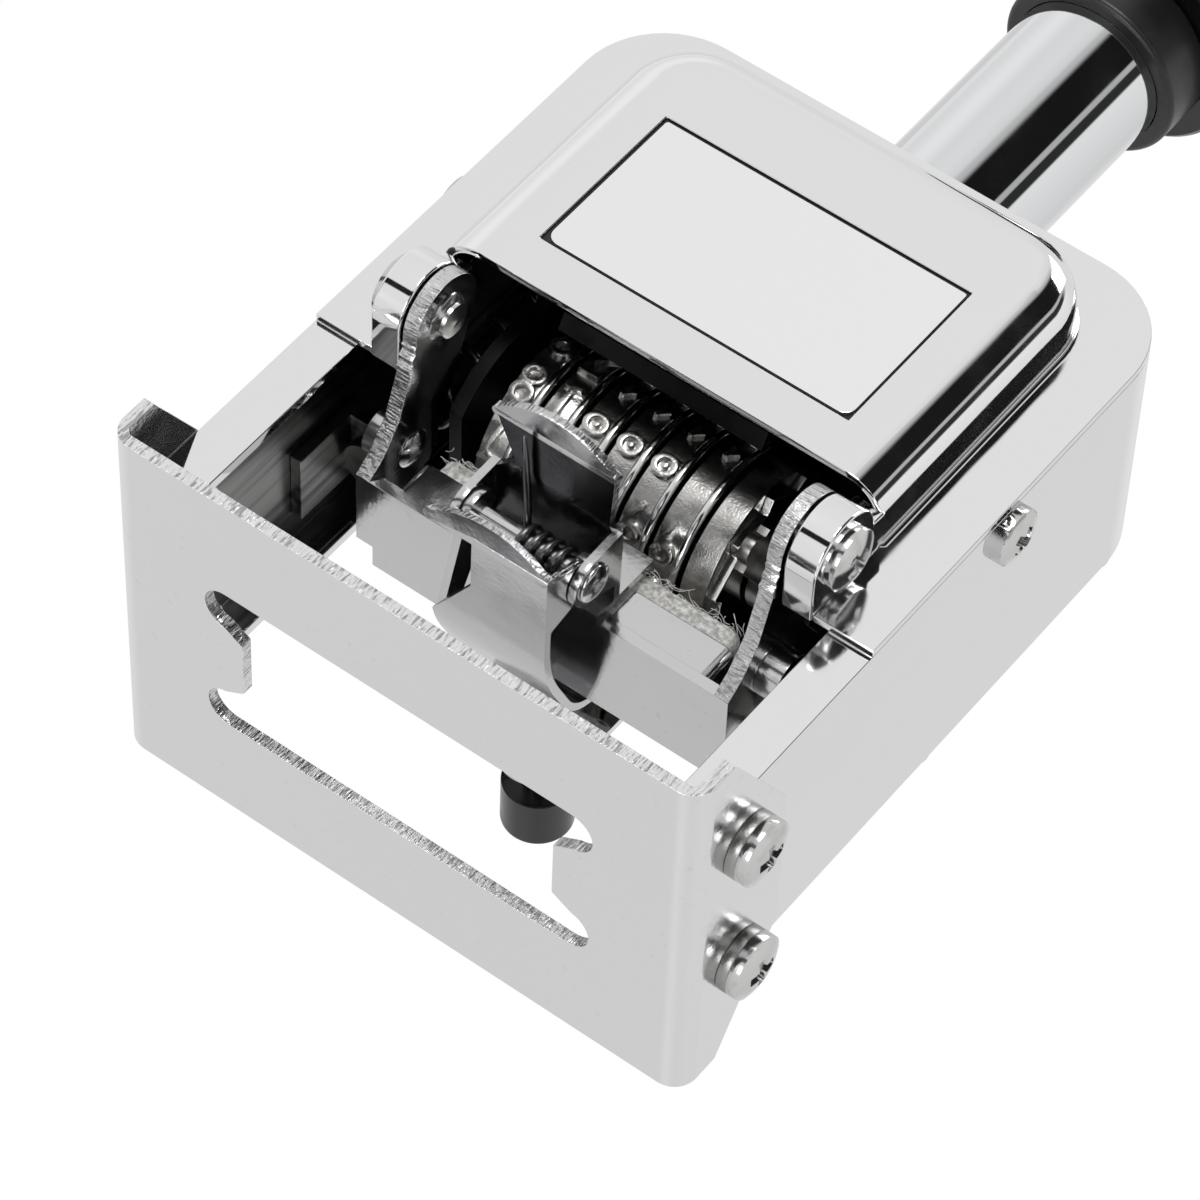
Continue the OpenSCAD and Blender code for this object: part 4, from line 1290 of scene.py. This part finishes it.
def studio():
    """A white tent with dark gaps between its panels, which give plated metal its black streaks."""
    world = bpy.data.worlds.new("studio")
    bpy.context.scene.world = world
    world.use_nodes = True
    tree = world.node_tree
    tree.nodes.clear()
    path = add_node(tree, "ShaderNodeLightPath")
    place = add_node(tree, "ShaderNodeTexCoord")
    axes = add_node(tree, "ShaderNodeSeparateXYZ", (), {"Vector": (place, "Generated")})
    heading = add_node(
        tree, "ShaderNodeMath", {"operation": "ARCTAN2"}, {0: (axes, "Y"), 1: (axes, "X")}
    )
    turn = add_node(
        tree,
        "ShaderNodeMath",
        {"operation": "MULTIPLY_ADD", 1: 1 / (2 * math.pi), 2: 0.5},
        {0: (heading, 0)},
    )
    level = add_node(
        tree, "ShaderNodeMath", {"operation": "MULTIPLY_ADD", 1: 0.5, 2: 0.5}, {0: (axes, "Z")}
    )
    all_round = [(degrees / 360 + 0.5, tone) for degrees, tone in SURROUND]
    bands = []
    for source, stops in ((turn, all_round), (level, TABLE_EDGE), (level, TABLE_TOP)):
        band = add_node(tree, "ShaderNodeValToRGB", (), {"Fac": (source, 0)})
        ramp = band.color_ramp
        ramp.elements.remove(ramp.elements[1])
        for number, (at, tone) in enumerate(stops):
            stop = ramp.elements.new(at) if number else ramp.elements[0]
            stop.position = at
            stop.color = (tone, tone, tone, 1)
        bands.append(band)
    panels, table, top = bands
    panels.color_ramp.interpolation = "EASE"
    around = add_node(
        tree,
        "ShaderNodeMix",
        {"data_type": "RGBA", "blend_type": "LIGHTEN", 7: linear(TOP_TONE)},
        {0: (top, "Color"), 6: (panels, "Color")},
    )
    in_front = add_node(
        tree, "ShaderNodeMath", {"operation": "LESS_THAN", 1: FRONT_HALF}, {0: (turn, 0)}
    )
    edge = add_node(
        tree, "ShaderNodeMath", {"operation": "MULTIPLY"}, {0: (table, "Color"), 1: (in_front, 0)}
    )
    seen = add_node(
        tree,
        "ShaderNodeMix",
        {"data_type": "RGBA", 7: linear(EDGE_TONE)},
        {0: (edge, 0), 6: (around, 2)},
    )
    height = add_node(tree, "ShaderNodeMath", {"operation": "ABSOLUTE"}, {0: (axes, "Z")})
    overhead = add_node(
        tree,
        "ShaderNodeMapRange",
        {**SMOOTH_STEP, "From Min": OVERHEAD_EDGE[0], "From Max": OVERHEAD_EDGE[1]},
        {"Value": (height, 0)},
    )
    dome = add_node(
        tree,
        "ShaderNodeMix",
        {"data_type": "RGBA", 7: linear(OVERHEAD_TONE)},
        {0: (overhead, 0), 6: (seen, 2)},
    )
    mirror = add_node(tree, "ShaderNodeBackground", {"Strength": 1.0}, {"Color": (dome, 2)})
    soft = add_node(
        tree, "ShaderNodeBackground", {"Color": linear("FFFFFF"), "Strength": SOFT_LIGHT}
    )
    white = add_node(tree, "ShaderNodeBackground", {"Color": linear("FFFFFF"), "Strength": 1.0})
    lit = add_node(
        tree, "ShaderNodeMixShader", (), {0: (path, "Is Glossy Ray"), 1: (soft, 0), 2: (mirror, 0)}
    )
    shown = add_node(
        tree, "ShaderNodeMixShader", (), {0: (path, "Is Camera Ray"), 1: (lit, 0), 2: (white, 0)}
    )
    add_node(tree, "ShaderNodeOutputWorld", (), {"Surface": (shown, 0)})


def softbox(name, place, aim, size, power):
    """A square area lamp that points at the machine."""
    bpy.ops.object.select_all(action="DESELECT")
    bpy.ops.object.light_add(type="AREA", location=place)
    lamp = bpy.context.object
    lamp.name = name
    lamp.data.size = size
    lamp.data.energy = power
    lamp.rotation_euler = (Vector(aim) - Vector(place)).to_track_quat("-Z", "Y").to_euler()


# Each lamp's place and aim in metres, its size in metres and its power in watts
LAMPS = {
    "key lamp": ((0.3, -0.4, 1.35), (0, 0, 0.05), 0.6, 5.0),
    "front fill": ((0.0, -1.0, 0.1), (0, 0, 0.03), 0.45, 3.5),
    "low fill": ((0.0, -0.5, -0.95), (0, 0, 0.03), 0.45, 2.2),
}
# The camera's place in mm and its directions, and its lens and sensor in mm
LOOK_FROM = Vector((187.48, -405.94, -235.73)) * MM
LOOK_ALONG = Vector((-0.3579, 0.7855, 0.5049))
PICTURE_UP = Vector((-0.4899, -0.6183, 0.6146))
FOCAL_LENGTH = 179.27
SENSOR = 36.0
NEAREST = 0.01


def photo_camera():
    """The camera at the photograph's place, below the front right of the machine."""
    back = -LOOK_ALONG.normalized()
    right = PICTURE_UP.cross(back).normalized()
    up = back.cross(right)
    turn = Matrix((right, up, back)).transposed().to_4x4()
    data = bpy.data.cameras.new("photo camera")
    camera = bpy.data.objects.new("photo camera", data)
    bpy.context.scene.collection.objects.link(camera)
    camera.matrix_world = Matrix.Translation(LOOK_FROM) @ turn
    data.sensor_width = SENSOR
    data.lens = FOCAL_LENGTH
    data.clip_start = NEAREST
    bpy.context.scene.camera = camera


pale_floor()
studio()
for name, settings in LAMPS.items():
    softbox(name, *settings)
photo_camera()
bpy.context.scene.view_settings.view_transform = "Standard"
